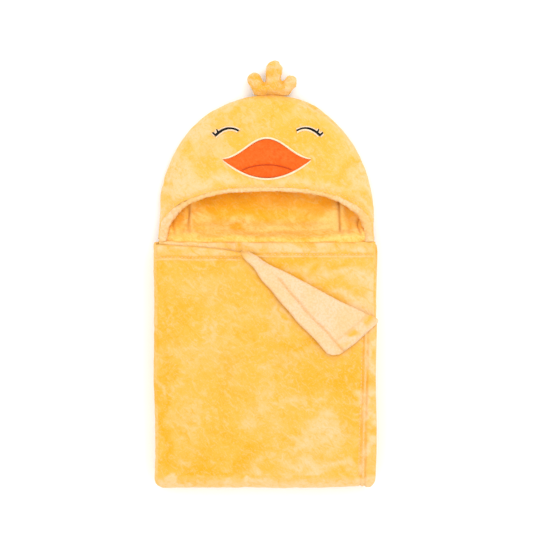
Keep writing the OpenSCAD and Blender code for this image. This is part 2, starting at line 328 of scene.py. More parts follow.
def soften(values, times=3):
    """Evens out an array along its first axis, and along the second of a grid."""
    for _ in range(times):
        padded = np.pad(values, [(1, 1)] + [(0, 0)] * (values.ndim - 1), mode="edge")
        values = (padded[:-2] + 2 * values + padded[2:]) / 4
    return values


def arc_length(path):
    """How far along a line each of its points is."""
    return np.concatenate([[0], np.cumsum(np.linalg.norm(np.diff(path, axis=0), axis=1))])


def places_on(path, along, at):
    """The places of a line at some distances along it."""
    return np.stack([np.interp(at, along, path[:, k]) for k in range(path.shape[1])], axis=1)


def resample(path, step):
    """The same line with points a step apart."""
    path = np.asarray(path, float)
    along = arc_length(path)
    count = max(2, int(round(along[-1] / step)))
    return places_on(path, along, np.linspace(0, along[-1], count + 1))


def tube_faces(rings, sides, first=0):
    """The faces of a closed tube. The points of its rings follow each other from the index first."""
    faces = []
    for r in range(rings - 1):
        a, b = first + r * sides, first + (r + 1) * sides
        faces += [(a + k, a + (k + 1) % sides, b + (k + 1) % sides, b + k) for k in range(sides)]
    last = first + (rings - 1) * sides
    return faces + [tuple(range(first, first + sides))[::-1], tuple(range(last, last + sides))]


def pills(name, starts, ends, ups, widths, heights, material, arch=0.0, dip=0.3, rings=5, sides=6):
    """Many small rounded strands in one mesh, each from a start to an end, sunk at both ends by dip."""
    turns = 2 * math.pi * np.arange(sides) / sides
    points, faces = [], []
    for p, q, up, width, height in zip(starts, ends, ups, widths, heights):
        first = len(points)
        way = q - p
        way = way / max(np.linalg.norm(way), 1e-9)
        side = np.cross(way, up)
        side = side / max(np.linalg.norm(side), 1e-9)
        rise = np.cross(side, way)
        for r in range(rings):
            t = r / (rings - 1)
            bow = 1 - (2 * t - 1) ** 2
            swell = math.sqrt(0.12 + 0.88 * bow)
            centre = p + (q - p) * t + rise * (arch * bow - dip * (1 - bow))
            for a in turns:
                points.append(centre + side * math.cos(a) * width / 2 * swell
                              + rise * math.sin(a) * height / 2 * swell)
        faces += tube_faces(rings, sides, first)
    return make_object(name, points, faces, material)


def stitches(name, xy, skin, material, length=3.0, pitch=4.2, width=0.9, sink=0.15):
    """A row of sewn stitches along a line on a skin."""
    step = 0.5
    line = resample(xy, step)
    points, ups = skin.drop(line)
    points[:, 2] = soften(points[:, 2])
    stitch_steps = max(1, int(round(length / step)))
    pitch_steps = max(stitch_steps + 1, int(round(pitch / step)))
    at = np.arange(0, len(line) - stitch_steps, pitch_steps)
    ups = soften(ups)
    lifted = points + ups * (width / 2 - sink)
    widths = [width] * len(at)
    return pills(name, lifted[at], lifted[at + stitch_steps], ups[at], widths, widths, material)


def satin(name, line, widths, skin, material, pitch=0.62, height=0.9, above=0.0, lean=0.35):
    """Satin stitch: strands laid close together across a line, so that they make a raised ribbed band."""
    along = arc_length(line)
    count = int(along[-1] / pitch)
    at = (np.arange(count) + 0.5) * along[-1] / count
    middle = places_on(line, along, at)
    width = np.interp(at, along, np.broadcast_to(widths, len(line)))
    near = 0.4
    way = places_on(line, along, at + near) - places_on(line, along, at - near)
    way /= np.maximum(np.linalg.norm(way, axis=1, keepdims=True), 1e-9)
    across = np.stack([-way[:, 1], way[:, 0]], axis=1) + lean * way
    across /= np.linalg.norm(across, axis=1, keepdims=True)
    reach_out = width[:, None] / 2 * across
    p, up = skin.drop(middle - reach_out)
    q, _ = skin.drop(middle + reach_out)
    lift_by = up * (above + 0.1)
    strand = np.full(count, pitch * 1.45)
    return pills(name, p + lift_by, q + lift_by, up, strand, [height] * count, material, arch=0.25, dip=0.25)


# ---------------------------------------------------------------- materials


class Nodes:
    """A short way to write a material's nodes."""

    def __init__(self, name):
        self.material = bpy.data.materials.new(name)
        self.material.use_nodes = True
        self.tree = self.material.node_tree
        self.shader = self.tree.nodes["Principled BSDF"]

    def add(self, kind, inputs=None, **settings):
        node = self.tree.nodes.new(kind)
        for key, value in settings.items():
            setattr(node, key, value)
        for key, value in (inputs or {}).items():
            self.put(node.inputs[key], value)
        return node

    def put(self, socket, value):
        if isinstance(value, bpy.types.NodeSocket):
            self.tree.links.new(value, socket)
        else:
            socket.default_value = value

    def noise(self, vector, scale, detail=2.0, rough=0.5, distortion=0.0):
        node = self.add("ShaderNodeTexNoise", {"Vector": vector, "Scale": scale, "Detail": detail,
                                               "Roughness": rough, "Distortion": distortion})
        return node.outputs["Fac"]

    def range(self, value, low, high, most=1.0):
        """A share that rises from 0 to most while the value goes from low to high."""
        node = self.add("ShaderNodeMapRange", {"Value": value, "From Min": low, "From Max": high,
                                               "To Min": 0.0, "To Max": most})
        node.interpolation_type = "SMOOTHSTEP"
        return node.outputs["Result"]

    def math(self, operation, a, b):
        return self.add("ShaderNodeMath", {0: a, 1: b}, operation=operation).outputs[0]

    def times(self, a, b):
        return self.math("MULTIPLY", a, b)

    def weighted(self, *terms):
        """The sum of some values, each times its weight."""
        total, *rest = [self.times(value, weight) for value, weight in terms]
        for product in rest:
            total = self.math("ADD", total, product)
        return total

    def blend(self, share, a, b):
        node = self.add("ShaderNodeMix", {"Factor": share}, data_type="RGBA")
        colours = [s for s in node.inputs if s.type == "RGBA"]
        self.put(colours[0], a)
        self.put(colours[1], b)
        return [s for s in node.outputs if s.type == "RGBA"][0]

    def veil(self, colour, other, value, low, high, most=1.0):
        """A colour with another laid over it where a value rises from low to high."""
        return self.blend(self.range(value, low, high, most), colour, other)

    def attribute(self, name):
        return self.add("ShaderNodeAttribute", attribute_name=name).outputs["Fac"]

    def place(self, shift=0.0):
        place = self.add("ShaderNodeTexCoord").outputs["Object"]
        return self.add("ShaderNodeVectorMath", {0: place, 1: (shift, shift * 0.7, shift * 1.3)}).outputs[0]

    def stretched(self, vector, turn, stretch):
        """Coordinates that draw a pattern out along a direction in the ground plane."""
        inputs = {"Vector": vector, "Rotation": (0, 0, math.radians(turn)), "Scale": (stretch, 1, 1)}
        return self.add("ShaderNodeMapping", inputs, vector_type="TEXTURE").outputs["Vector"]

    def bumped(self, height, strength, distance):
        normal = self.add("ShaderNodeBump", {"Strength": strength, "Distance": distance, "Height": height})
        self.put(self.shader.inputs["Normal"], normal.outputs["Normal"])

    def finish(self, colour, rough, sheen=0.0, tint=(1.0, 0.86, 0.64, 1.0), gloss=0.15):
        self.put(self.shader.inputs["Base Color"], colour)
        self.put(self.shader.inputs["Roughness"], rough)
        self.put(self.shader.inputs["Specular IOR Level"], gloss)
        self.put(self.shader.inputs["Sheen Weight"], sheen)
        self.put(self.shader.inputs["Sheen Roughness"], 0.45)
        self.put(self.shader.inputs["Sheen Tint"], tint)
        return self.material


# The strength of the light where a dye is seen: in the open, inside the hood, and on the cream thread.
STUDIO = 1.40
SHADED = 1.12
LOW = 1.2
RED_LIFT = 1.13
NUB_DEPTH = 0.42
WEAVE_SCALE = 110.0
TWIST_SCALE = 900.0


def dyed(r, g, b, light=STUDIO):
    """The dye that renders as about this colour, in 0 to 255 steps, under light of that strength.

    Red is lifted by a share that was set by comparing renders with the photo.
    """
    seen = [c / 12.92 if c <= 0.04045 else ((c + 0.055) / 1.055) ** 2.4 for c in (r / 255, g / 255, b / 255)]
    lifts = (RED_LIFT, 1, 1)
    return tuple(min(0.97, c * lift / light) for c, lift in zip(seen, lifts)) + (1.0,)


# The colour of painted shade in grooves, creases and beside raised edges, laid on where a piece's crease
# attribute is set.
CREASE_SHADE = dyed(238, 160, 58)


def plush(name, middle, pale, deep, patch=26.0, sheen=0.3, shift=0.0, contrast=1.0, strokes=1.0):
    """Brushed plush: patches where the pile leans differently, strokes along the nap, fine fibres."""
    n = Nodes(name)
    place = n.place(shift)
    drift = n.noise(place, 9.0, 2.0)
    patches = n.noise(place, patch, 4.0, 0.60, 0.9)
    tufts = n.noise(n.stretched(place, -38, 1.6), patch * 4.4, 3.0, 0.65, 1.2)
    nap = n.noise(n.stretched(place, -52, 2.1), 260.0, 3.0, 0.62, 1.6)
    cross_nap = n.noise(n.stretched(place, 30, 1.8), 480.0, 2.0, 0.6, 0.9)
    fibre = n.noise(place, 1500.0, 2.0, 0.6)
    lean = n.weighted((patches, 0.46), (drift, 0.32), (tufts, 0.22))
    to_pale = n.range(lean, 0.50, 0.50 + 0.15 / contrast)
    to_deep = n.range(lean, 0.50, 0.50 - 0.14 / contrast)
    frayed = n.range(n.weighted((tufts, 0.6), (nap, 0.4)), 0.34, 0.62)
    # The pale and deep attributes carry the pile's patches and, on some pieces, painted highlight and painted
    # shade.
    painted_pale = n.times(n.attribute("pale"), n.math("ADD", n.times(frayed, 0.55), 0.55))
    painted_deep = n.times(n.attribute("deep"), n.math("SUBTRACT", 1.15, n.times(frayed, 0.45)))
    to_pale = n.math("MAXIMUM", n.times(to_pale, 0.62), painted_pale)
    to_deep = n.math("MAXIMUM", n.times(to_deep, 0.70), painted_deep)
    colour = n.blend(to_pale, middle, pale)
    colour = n.blend(to_deep, colour, deep)
    for pattern, weight in ((tufts, 0.45), (nap, 0.40), (cross_nap, 0.34)):
        colour = n.veil(colour, pale, pattern, 0.53, 0.70, weight * strokes)
        colour = n.veil(colour, deep, pattern, 0.45, 0.29, weight * strokes)
    colour = n.veil(colour, deep, fibre, 0.35, 0.65, 0.12)
    # Painted shade where the crease attribute is set.
    colour = n.blend(n.attribute("crease"), colour, CREASE_SHADE)
    n.bumped(n.weighted((nap, 0.9), (cross_nap, 0.6), (tufts, 1.3), (fibre, 0.35)), 0.35, 0.0012)
    return n.finish(colour, 0.92, sheen)


def terry(name, middle, pale, deep, face, size=520.0):
    """The reverse of the plush and the turned edge: short curled pile, nubby up close."""
    n = Nodes(name)
    place = n.place()
    drift = n.noise(place, 24.0, 3.0, 0.6)
    cells = n.add("ShaderNodeTexVoronoi", {"Vector": place, "Scale": size}, feature="SMOOTH_F1")
    nub = cells.outputs["Distance"]
    fibre = n.noise(place, 1700.0, 2.0, 0.6)
    tufts = n.noise(place, 230.0, 3.0, 0.6)
    colour = n.veil(middle, pale, drift, 0.38, 0.64)
    # Darker between the nubs: painted shade in the hollows between the loops.
    colour = n.veil(colour, deep, nub, 0.30, 0.62, NUB_DEPTH)
    colour = n.veil(colour, pale, tufts, 0.55, 0.75, 0.3)
    # The deep attribute lays on painted shade: along the turned corner's rolled edge, and on the binding's
    # inner side and underside.
    colour = n.blend(n.times(n.attribute("deep"), 0.9), colour, deep)
    colour = n.blend(n.attribute("face"), colour, n.veil(face, middle, tufts, 0.50, 0.72, 0.7))
    # Painted shade where the crease attribute is set.
    colour = n.blend(n.attribute("crease"), colour, CREASE_SHADE)
    height = n.math("ADD", n.times(fibre, 0.4), tufts)
    n.bumped(n.math("SUBTRACT", height, nub), 0.5, 0.0011)
    return n.finish(colour, 0.95, 0.25)


def yarn(name, colour, shade, rough=0.6, sheen=0.15):
    """Embroidery and sewing thread: fine twisted strands with a soft gloss."""
    n = Nodes(name)
    strands = n.noise(n.stretched(n.place(), 40, 5.0), TWIST_SCALE, 2.0, 0.6)
    n.bumped(strands, 0.5, 0.0003)
    return n.finish(n.veil(colour, shade, strands, 0.35, 0.65), rough, sheen, gloss=0.25)


def woven(name, colour, shade):
    """A plain woven tape or ribbon: two crossed sets of fine threads."""
    n = Nodes(name)
    place = n.place()
    waves = [n.add("ShaderNodeTexWave", {"Vector": place, "Scale": WEAVE_SCALE, "Distortion": 0.4},
                   bands_direction=way).outputs["Fac"] for way in ("X", "Y")]
    weave = n.times(*waves)
    n.bumped(weave, 0.3, 0.0002)
    return n.finish(n.blend(weave, shade, colour), 0.7)


def fluff(name):
    """Loose polyester filling."""
    n = Nodes(name)
    strands = n.noise(n.place(), 420.0, 4.0, 0.7, 2.5)
    n.bumped(strands, 0.8, 0.002)
    return n.finish(n.blend(strands, dyed(225, 225, 222), dyed(250, 250, 250)), 0.9, 0.2)


face_plush = plush("face_plush", dyed(252, 204, 82), dyed(254, 227, 168), dyed(250, 190, 36), strokes=0.72)
hood_plush = plush("hood_plush", dyed(253, 209, 86), dyed(254, 229, 172), dyed(251, 196, 48),
                   patch=30.0, shift=0.37, contrast=1.1, strokes=0.8)
# The lining is the same plush as the hood, dyed a deeper amber here: painted shade for the inside of the
# hood.
lining_plush = plush("lining_plush", dyed(253, 188, 36, SHADED), dyed(254, 224, 138, SHADED),
                     dyed(250, 164, 16, SHADED), patch=34.0, shift=0.71, contrast=0.8, strokes=0.6)
tuft_plush = plush("tuft_plush", dyed(252, 206, 92), dyed(254, 229, 176), dyed(251, 190, 44),
                   patch=80.0, shift=0.53, contrast=1.6)
reverse_terry = terry("reverse_terry", dyed(253, 225, 168), dyed(254, 232, 190), dyed(250, 206, 134),
                      dyed(252, 200, 78))
rim_terry = terry("rim_terry", dyed(253, 220, 146), dyed(255, 232, 182), dyed(250, 200, 104),
                  dyed(252, 200, 78), size=430.0)
beak_plush = plush("beak_plush", dyed(249, 112, 28), dyed(252, 134, 60), dyed(240, 92, 18),
                   patch=60.0, sheen=0.05, shift=0.19, contrast=1.2, strokes=0.9)
hem_yarn = yarn("hem_yarn", dyed(254, 226, 162), dyed(249, 206, 126))
beak_yarn = yarn("beak_yarn", dyed(224, 84, 22), dyed(206, 70, 16))
cream_yarn = yarn("cream_yarn", dyed(255, 246, 216, LOW), dyed(254, 236, 188, LOW))
black_yarn = yarn("black_yarn", dyed(14, 14, 17), dyed(6, 6, 8), rough=0.8, sheen=0.0)
tape_weave = woven("tape_weave", dyed(252, 210, 120), dyed(236, 180, 84))
label_weave = woven("label_weave", dyed(250, 248, 242), dyed(228, 224, 214))
filling_fluff = fluff("filling_fluff")


# ---------------------------------------------------------------- the towel's own sheet

wide_wrinkle = Waves(11, 95)
soft_wrinkle = Waves(12, 42)
crush = Waves(13, 11)
edge_drift = Waves(14, 80)
pucker = Waves(15, 8, stretch=(1, 3.5, 1))
side_pucker = Waves(16, 8, stretch=(3.5, 1, 1))
diagonal = Waves(17, 30, stretch=(3.4, 1, 1))
hem_drift = Waves(18, 60)
curl = Waves(22, 34)

HEM_LINE_Y = NECK_Y - 18.6
CREASE_ROLL = 3.4


def on_panel(patches):
    """Patches given in shares of the folded towel's width and length, in millimetres."""
    w, h = 2 * HALF_W, NECK_Y - BOTTOM_Y
    return [(u * w - HALF_W, v * h + BOTTOM_Y, p * w, q * h, s) for u, v, p, q, s in patches]


# Where the front's pile is brushed pale and where it leans deep: (across, up, half sizes, strength).
BRUSHED_PALE = on_panel([
    (0.76, 0.22, 0.11, 0.055, 0.95), (0.69, 0.14, 0.09, 0.035, 0.8), (0.47, 0.29, 0.06, 0.065, 0.7),
    (0.57, 0.07, 0.16, 0.025, 0.85), (0.79, 0.06, 0.14, 0.028, 0.8), (0.34, 0.52, 0.06, 0.11, 0.4),
    (0.15, 0.27, 0.055, 0.09, 0.45), (0.14, 0.105, 0.05, 0.018, 0.5), (0.02, 0.45, 0.018, 0.10, 0.6),
    (0.975, 0.24, 0.026, 0.26, 1.9), (0.98, 0.53, 0.022, 0.05, 1.0), (0.27, 0.83, 0.12, 0.06, 0.4),
    (0.16, 0.55, 0.10, 0.05, 0.4), (0.76, 0.38, 0.08, 0.03, 0.3), (0.40, 0.68, 0.10, 0.04, 0.3),
])
# Of these, the patch below the turned corner and the narrow one beside its edge are painted shadow of the
# corner.
LEANING_DEEP = on_panel([
    (0.25, 0.095, 0.16, 0.042, 1.2), (0.04, 0.20, 0.028, 0.18, 1.0), (0.85, 0.43, 0.09, 0.095, 1.0),
    (0.69, 0.44, 0.12, 0.07, 0.5), (0.59, 0.20, 0.05, 0.036, 0.6), (0.40, 0.10, 0.065, 0.05, 0.6),
    (0.062, 0.46, 0.014, 0.22, 0.8), (0.59, 0.58, 0.10, 0.08, 0.55), (0.03, 0.71, 0.024, 0.18, 0.75),
    (0.68, 0.55, 0.07, 0.035, 0.75), (0.52, 0.76, 0.03, 0.10, 0.4), (0.92, 0.29, 0.012, 0.18, 0.6),
    (0.79, 0.095, 0.04, 0.02, 0.4), (0.20, 0.93, 0.16, 0.012, 0.4), (0.30, 0.36, 0.05, 0.03, 0.35),
])
# The same on the layer beneath it, which shows beyond the crease.
BENEATH_PALE = on_panel([
    (0.93, 0.86, 0.09, 0.025, 1.3), (0.86, 0.78, 0.08, 0.014, 1.3), (0.92, 0.72, 0.09, 0.05, 1.6),
    (0.80, 0.70, 0.05, 0.014, 0.8), (0.98, 0.80, 0.03, 0.10, 1.5), (0.72, 0.865, 0.12, 0.014, 0.8),
])
BENEATH_DEEP = on_panel([
    (0.54, 0.90, 0.10, 0.028, 0.8), (0.66, 0.82, 0.10, 0.03, 0.85), (0.80, 0.745, 0.06, 0.022, 0.7),
    (0.78, 0.895, 0.10, 0.008, 0.7), (0.90, 0.64, 0.10, 0.018, 0.6),
])


def hem_top(x):
    """The sloping top hem's own edge."""
    return CREASE_START[1] + (CREASE_START[0] - x) * math.tan(FRONT_SKEW)


def along_crease(x, y):
    """How far a place is along the crease, and how far beyond it, away from the corner's tip."""
    dx, dy = x - CREASE_START[0], y - CREASE_START[1]
    return dx * CREASE_WAY[0] + dy * CREASE_WAY[1], -(dx * CREASE_IN[0] + dy * CREASE_IN[1])


def crease_swell(s):
    """The rolled hem stands out beyond the crease near its start."""
    return CREASE_ROLL * bump(s, 16, 15) + 0.5 * hem_drift(s, 30) * smooth(s / 20)


def crease_y(x):
    """The front layer's edge along the crease."""
    s = (x - CREASE_START[0]) / CREASE_WAY[0]
    return CREASE_START[1] + s * CREASE_WAY[1] + (crease_swell(s) - 2.2) / CREASE_WAY[0]


def top_edge_y(x):
    """The front layer's upper edge: its sloping top hem, then the crease."""
    soft = 3.0
    hem, crease = hem_top(x), crease_y(x)
    low = np.minimum(hem, crease)
    return low - soft * np.log(np.exp(-(hem - low) / soft) + np.exp(-(crease - low) / soft))


def hem_line_y(x):
    """Where the top hem's stitching runs: level, so that the hem narrows towards the crease."""
    return HEM_LINE_Y + 0.7 * hem_drift(x, 0)


def hem_line_x(y):
    """Where the side hem's stitching runs: it drifts away from the edge towards the bottom."""
    return HALF_W - HEM_W + 0.6 - 3.2 * smooth((-60 - y) / 170)


def front_wave(x, y):
    """How far the front layer stands above its lowest place. Under the turned corner it lies flat."""
    a, b = corner_place(x, y)
    under = smooth((b + 8) / 8) * smooth((CORNER_W + 8 - a) / 8) * smooth((a + 10) / 20)
    return (0.55 + 0.38 * wide_wrinkle(x, y) + 0.22 * soft_wrinkle(x, y)) * (1 - 0.9 * under)


def corner_ways():
    """The turned corner's own axes: along its long hem, and across from that hem to the crease."""
    out = CORNER_W * CORNER_H / CREASE_L
    along = CORNER_W**2 / CREASE_L
    tip = CREASE_START[:2] + along * CREASE_WAY + out * CREASE_IN
    return (tip - CREASE_START[:2]) / CORNER_W, (CREASE_END - tip) / CORNER_H


def corner_place(x, y):
    """A place in the turned corner's own axes."""
    long_way, across_way = corner_ways()
    dx, dy = x - CREASE_START[0], y - CREASE_START[1]
    return dx * long_way[0] + dy * long_way[1], dx * across_way[0] + dy * across_way[1]


def hem_bulge(a):
    """The turned corner's long hem bows out, past a straight line."""
    return 3.0 * np.sin(math.pi * unit(a / CORNER_W) ** 0.9) + 0.8 * curl(a, 0) + 1.5 * bump(a, 12, 9)


def corner_growth(a):
    """The share of the turned corner's thickness that stands free of the top hem."""
    return smooth((a + 1) / 14)


def hem_mound(x, y):
    """The top hem swells towards the crease, and the turned corner grows out of it."""
    near = smooth((x - CREASE_START[0] + 24) / 24)
    return 3.0 * near * (1 - corner_growth(corner_place(x, y)[0])) * smooth((y - HEM_LINE_Y + 0.5) / 2.5)


def flap_shade(x, y):
    """Painted shadow of the turned corner on the front layer, 1 at its edge."""
    a, b = corner_place(x, y)
    beyond = np.maximum(-b - hem_bulge(a), a - CORNER_W - 1.5)
    inside = smooth((-beyond - 3) / 4)
    faded = (1 - inside) * smooth((a - 20) / 50) * (b < CORNER_H) * (0.7 + 0.3 * curl(x, y))
    return np.exp(-np.maximum(beyond, 0) / 3.6) * faded


# The sheet's parts across its thirds, hem to hem, and its stretches along its length, from the top.
TOP_PLY, LEFT_FOLD, LOW_PLY, RIGHT_FOLD, MIDDLE_PLY = range(5)
FRONT_TOP, FRONT_LOW, BOTTOM_FOLD, MIDDLE_SET, UPPER_FOLD, INSIDE_SET = range(6)


def section():
    """The sheet across its thirds: x, depth, normal and part of each station, hem to hem."""
    turn_l = SET_T / 2
    left_x = -HALF_W + turn_l
    right_r = (PITCH + PLY) / 2
    right_x = HALF_W - 1 - right_r
    rows = []

    def flat(x0, x1, depth, normal, places, part):
        for s in places:
            rows.append((mix(x0, x1, s / abs(x1 - x0)), depth, 0.0, normal, part))

    def bend(cx, radius, centre, side, count, part, up):
        for i in range(1, count):
            a = math.pi * i / count
            c, s = math.cos(a) * up, math.sin(a)
            rows.append((cx + side * radius * s, centre + radius * c, side * s, c, part))

    l_len, c_len, r_len = HALF_W - left_x, right_x - left_x, right_x - left_x - 1
    flat(HALF_W, left_x, 2 * PITCH + HALF, 1.0,
         stations(l_len, 2.5, start_edge=HALF, fine=[(0, 24), (l_len - 6, l_len)], fine_step=1.15), TOP_PLY)
    bend(left_x, turn_l - HALF, turn_l, -1, 8, LEFT_FOLD, 1)
    flat(left_x, right_x, HALF, -1.0, stations(c_len, 12), LOW_PLY)
    bend(right_x, right_r - HALF, right_r, 1, 6, RIGHT_FOLD, -1)
    flat(right_x, left_x + 1, PITCH + HALF, 1.0,
         stations(r_len, 12, end_edge=HALF, fine=[(0, 170)], fine_step=2.6), MIDDLE_PLY)
    return [np.array(c, float)[None, :] for c in zip(*rows)]


def lengthwise():
    """The sheet along its length: the set's foot, its depth's direction, stretch and arc of each station."""
    rows = []

    def add(y, z, dy, dz, kind, t):
        rows.append((y, z, dy, dz, kind, t))

    def half_turn(steps):
        return [math.pi * i / steps for i in range(1, steps)]

    # Above common_y the rows spread out to the sloping top hem, and below it they are level.
    common_y = -92.0
    for s in stations(NECK_Y - common_y, 2.5, start_edge=HALF, fine=[(0, 24)], fine_step=1.1)[:-1]:
        add(NECK_Y - s, FRONT_Z, 0, 1, FRONT_TOP, s / (NECK_Y - common_y))
    for s in stations(common_y - BOTTOM_FOLD_Y, 2.5):
        add(common_y - s, FRONT_Z, 0, 1, FRONT_LOW, 0)
    outer, inner = FRONT_Z - BOTTOM_FOLD_Z, GAP / 2
    for a in half_turn(22):
        c, s = math.cos(a), math.sin(a)
        add(BOTTOM_FOLD_Y - outer * s, BOTTOM_FOLD_Z + outer * c, -s, c, BOTTOM_FOLD, a)
    for s in stations(UPPER_FOLD_Y - BOTTOM_FOLD_Y, 6.5):
        add(BOTTOM_FOLD_Y + s, SET_T, 0, -1, MIDDLE_SET, 0)
    for a in half_turn(10):
        c, s = math.cos(a), math.sin(a)
        add(UPPER_FOLD_Y + inner * s, UPPER_FOLD_Z - inner * c, s, -c, UPPER_FOLD, a)
    for s in stations(UPPER_FOLD_Y - INSIDE_END_Y, 14, end_edge=HALF):
        add(UPPER_FOLD_Y - s, INSIDE_Z, 0, 1, INSIDE_SET, 0)
    return [np.array(c, float)[:, None] for c in zip(*rows)]


def drawn_in(x, y):
    """The sides as seen from above: the right one lies a little in, and the lower corners are round."""
    down = smooth((NECK_Y - y) / (NECK_Y - BOTTOM_Y))
    taper = np.where(x > 0, 1.9 + 1.6 * down, 0.2 + 1.0 * down)
    radius = 11.0
    near = unit((BOTTOM_Y + radius - y) / radius)
    corner = radius * (1 - np.sqrt(np.maximum(0, 1 - near**2)))
    share = smooth((np.abs(x) - HALF_W + 3 * radius) / (3 * radius))
    return x - np.sign(x) * (taper * (np.abs(x) / HALF_W) ** 2 + 0.8 * corner * share)


def body_sheet():
    """The folded towel, one sheet through all its layers."""
    x, depth, nx, nd, part = section()
    y0, z0, dy, dz, kind, t = lengthwise()
    front = kind == FRONT_TOP
    wobble = 0.6 * edge_drift(x, 0.0, part * 90.0)
    own_top = np.where(part == TOP_PLY, top_edge_y(x), NECK_Y) + wobble
    fold_share = np.where(part == LEFT_FOLD, smooth((depth - 3) / 5), 0)
    own_top = mix(own_top, top_edge_y(np.full_like(x, -HALF_W)) + wobble, fold_share)
    common_y = y0[kind == FRONT_LOW].max()
    y = np.where(front, mix(own_top, common_y, t), y0) + dy * depth
    z = z0 + dz * depth
    x = x + 0 * y
    part, nx, nd, depth, own_top = (v + 0 * y for v in (part, nx, nd, depth, own_top))
    is_top, is_middle = part == TOP_PLY, part == MIDDLE_PLY
    faces_up = kind <= FRONT_LOW

    # The three sets don't lie exactly on each other, and the folds aren't quite straight.
    drift = [edge_drift(57.0 * k, y * 0.6) for k in range(3)]
    slide = np.select([faces_up, kind == BOTTOM_FOLD, kind == MIDDLE_SET, kind == UPPER_FOLD],
                      [drift[0], mix(drift[0], drift[1], t / math.pi), drift[1],
                       mix(drift[1], drift[2], t / math.pi)], drift[2])
    x = x + smooth((np.abs(x) - 60) / 60) * 0.8 * slide
    x = drawn_in(x, y)
    bent = np.where(kind == BOTTOM_FOLD, np.sin(t), 0)
    z = z + 0.5 * soft_wrinkle(x, 30.0, depth) * bent
    raised = smooth(x / HALF_W)
    y = y + (0.5 * edge_drift(x, 8.0) + 0.7 * raised - 0.6) * bent
    y = y + 0.6 * raised * smooth((BOTTOM_FOLD_Y + 10 - y) / 20)

    # The front layer and the layer beneath it lie in soft waves.
    rising = smooth((y - BOTTOM_FOLD_Y) / 25)
    z = z + np.where(faces_up & is_top, front_wave(x, y) * rising, 0)
    beyond = along_crease(x, y)[1]
    open_share = np.where(faces_up & is_middle, smooth((beyond - 3) / 12), 0)
    ridges = 1.0 * diagonal(x * 0.86 + y * 0.5, y * 0.86 - x * 0.5) + 0.45 * soft_wrinkle(x, y)
    z = z + open_share * (0.35 * ridges - 0.35) * smooth((x + 25) / 60)

    mid = np.stack([x, y, z], axis=2)
    normal = grid_normals(mid)
    outward = np.stack([nx, nd * dy, nd * dz], axis=2)
    flip = np.sign((normal * outward).sum(2, keepdims=True))
    normal = normal * np.where(flip == 0, 1, flip)

    level_row = 70
    arc = arc_length(mid[level_row])[None, :]
    across = np.minimum(arc, arc[0, -1] - arc) + 0 * y
    from_top = np.where(front, own_top - y, FAR)
    down = np.minimum(from_top, np.where(kind == INSIDE_SET, y - INSIDE_END_Y, FAR))
    thick = HALF * edge_round(across) * edge_round(np.maximum(down, 0))
    k = thick / HALF

    # Hems: thicker bands with puckers, and grooves where the stitches pull the cloth in.
    line = HALF_W - hem_line_x(y)
    inside = np.where(is_top & (kind != UPPER_FOLD), HALF_W - x, FAR)
    side_groove = bump(inside, line + 2.5, 1.25) + bump(inside, line - 2.3, 1.25)
    side_ridge = bump(inside, line + 0.1, 1.3)
    side_band = smooth((line - 1 - inside) / 3) * smooth(inside / 2)
    top_line = np.where(is_top, hem_line_y(x), NECK_Y - HEM_W)
    hemmed = front & ((is_top & (x < CREASE_START[0] + 6)) | is_middle)
    below = np.where(hemmed, top_line - y, FAR)
    fade = np.where(is_top, smooth((CREASE_START[0] + 6 - x) / 8), 1)
    top_groove = fade * (bump(below, 0, 1.5) + 0.45 * bump(below, 4.3, 1.3))
    top_ridge = fade * bump(below, 2.2, 1.2)
    top_band = np.where(hemmed, smooth(from_top / 2.2) * smooth((-0.5 - below) / 3), 0)
    over = thick + k * (
        0.7 * side_band + 0.7 * side_ridge - 0.95 * side_groove
        + np.where(is_top, 0.9, 0.35) * top_band + 0.6 * top_ridge - 0.7 * top_groove
        + 1.1 * bump(y, top_edge_y(x) + 1.5, 2.2) * (is_middle & front) * smooth((CREASE_START[0] - x) / 10)
        + 0.55 * top_band * pucker(x, y) + 0.3 * bump(below, 4, 5) * pucker(x, y, 9)
        + 0.4 * side_band * side_pucker(x, y)
        + hem_mound(x, y) * (is_top & front)
        + 0.16 * crush(x, y, z) + 0.2 * soft_wrinkle(x, y, z) * np.where(is_top, 1, 0.5))
    fold_mark = bump(x, -HALF_W + 16, 1.6) * smooth((y - BOTTOM_FOLD_Y) / 20)
    fold_mark = fold_mark * smooth((10 - y) / 40) * is_top
    over = over - 0.3 * fold_mark * k

    # Pile brushed pale or leaning deep, with painted highlight on the hems, painted shade in the grooves and
    # painted sheen on the turns of the folds.
    on_front, on_beneath = faces_up & is_top, faces_up & is_middle

    def brushed(front_patches, beneath_patches):
        return (np.where(on_front, painted(x, y, front_patches), 0)
                + np.where(on_beneath, painted(x, y, beneath_patches, 5), 0))

    pale = brushed(BRUSHED_PALE, BENEATH_PALE)
    # The pressed fold mark is darkened too: painted shade in its dent.
    deep = brushed(LEANING_DEEP, BENEATH_DEEP) + 0.25 * fold_mark
    # Paler hem bands and ridges: painted highlight on the raised hems.
    hems = unit(top_band * (0.72 + 0.30 * side_pucker(x, y, 5)) + 0.8 * top_ridge + 0.85 * side_ridge)
    pale = np.maximum(unit(pale), 1.05 * hems)
    pale = np.maximum(pale, 0.3 * side_band)
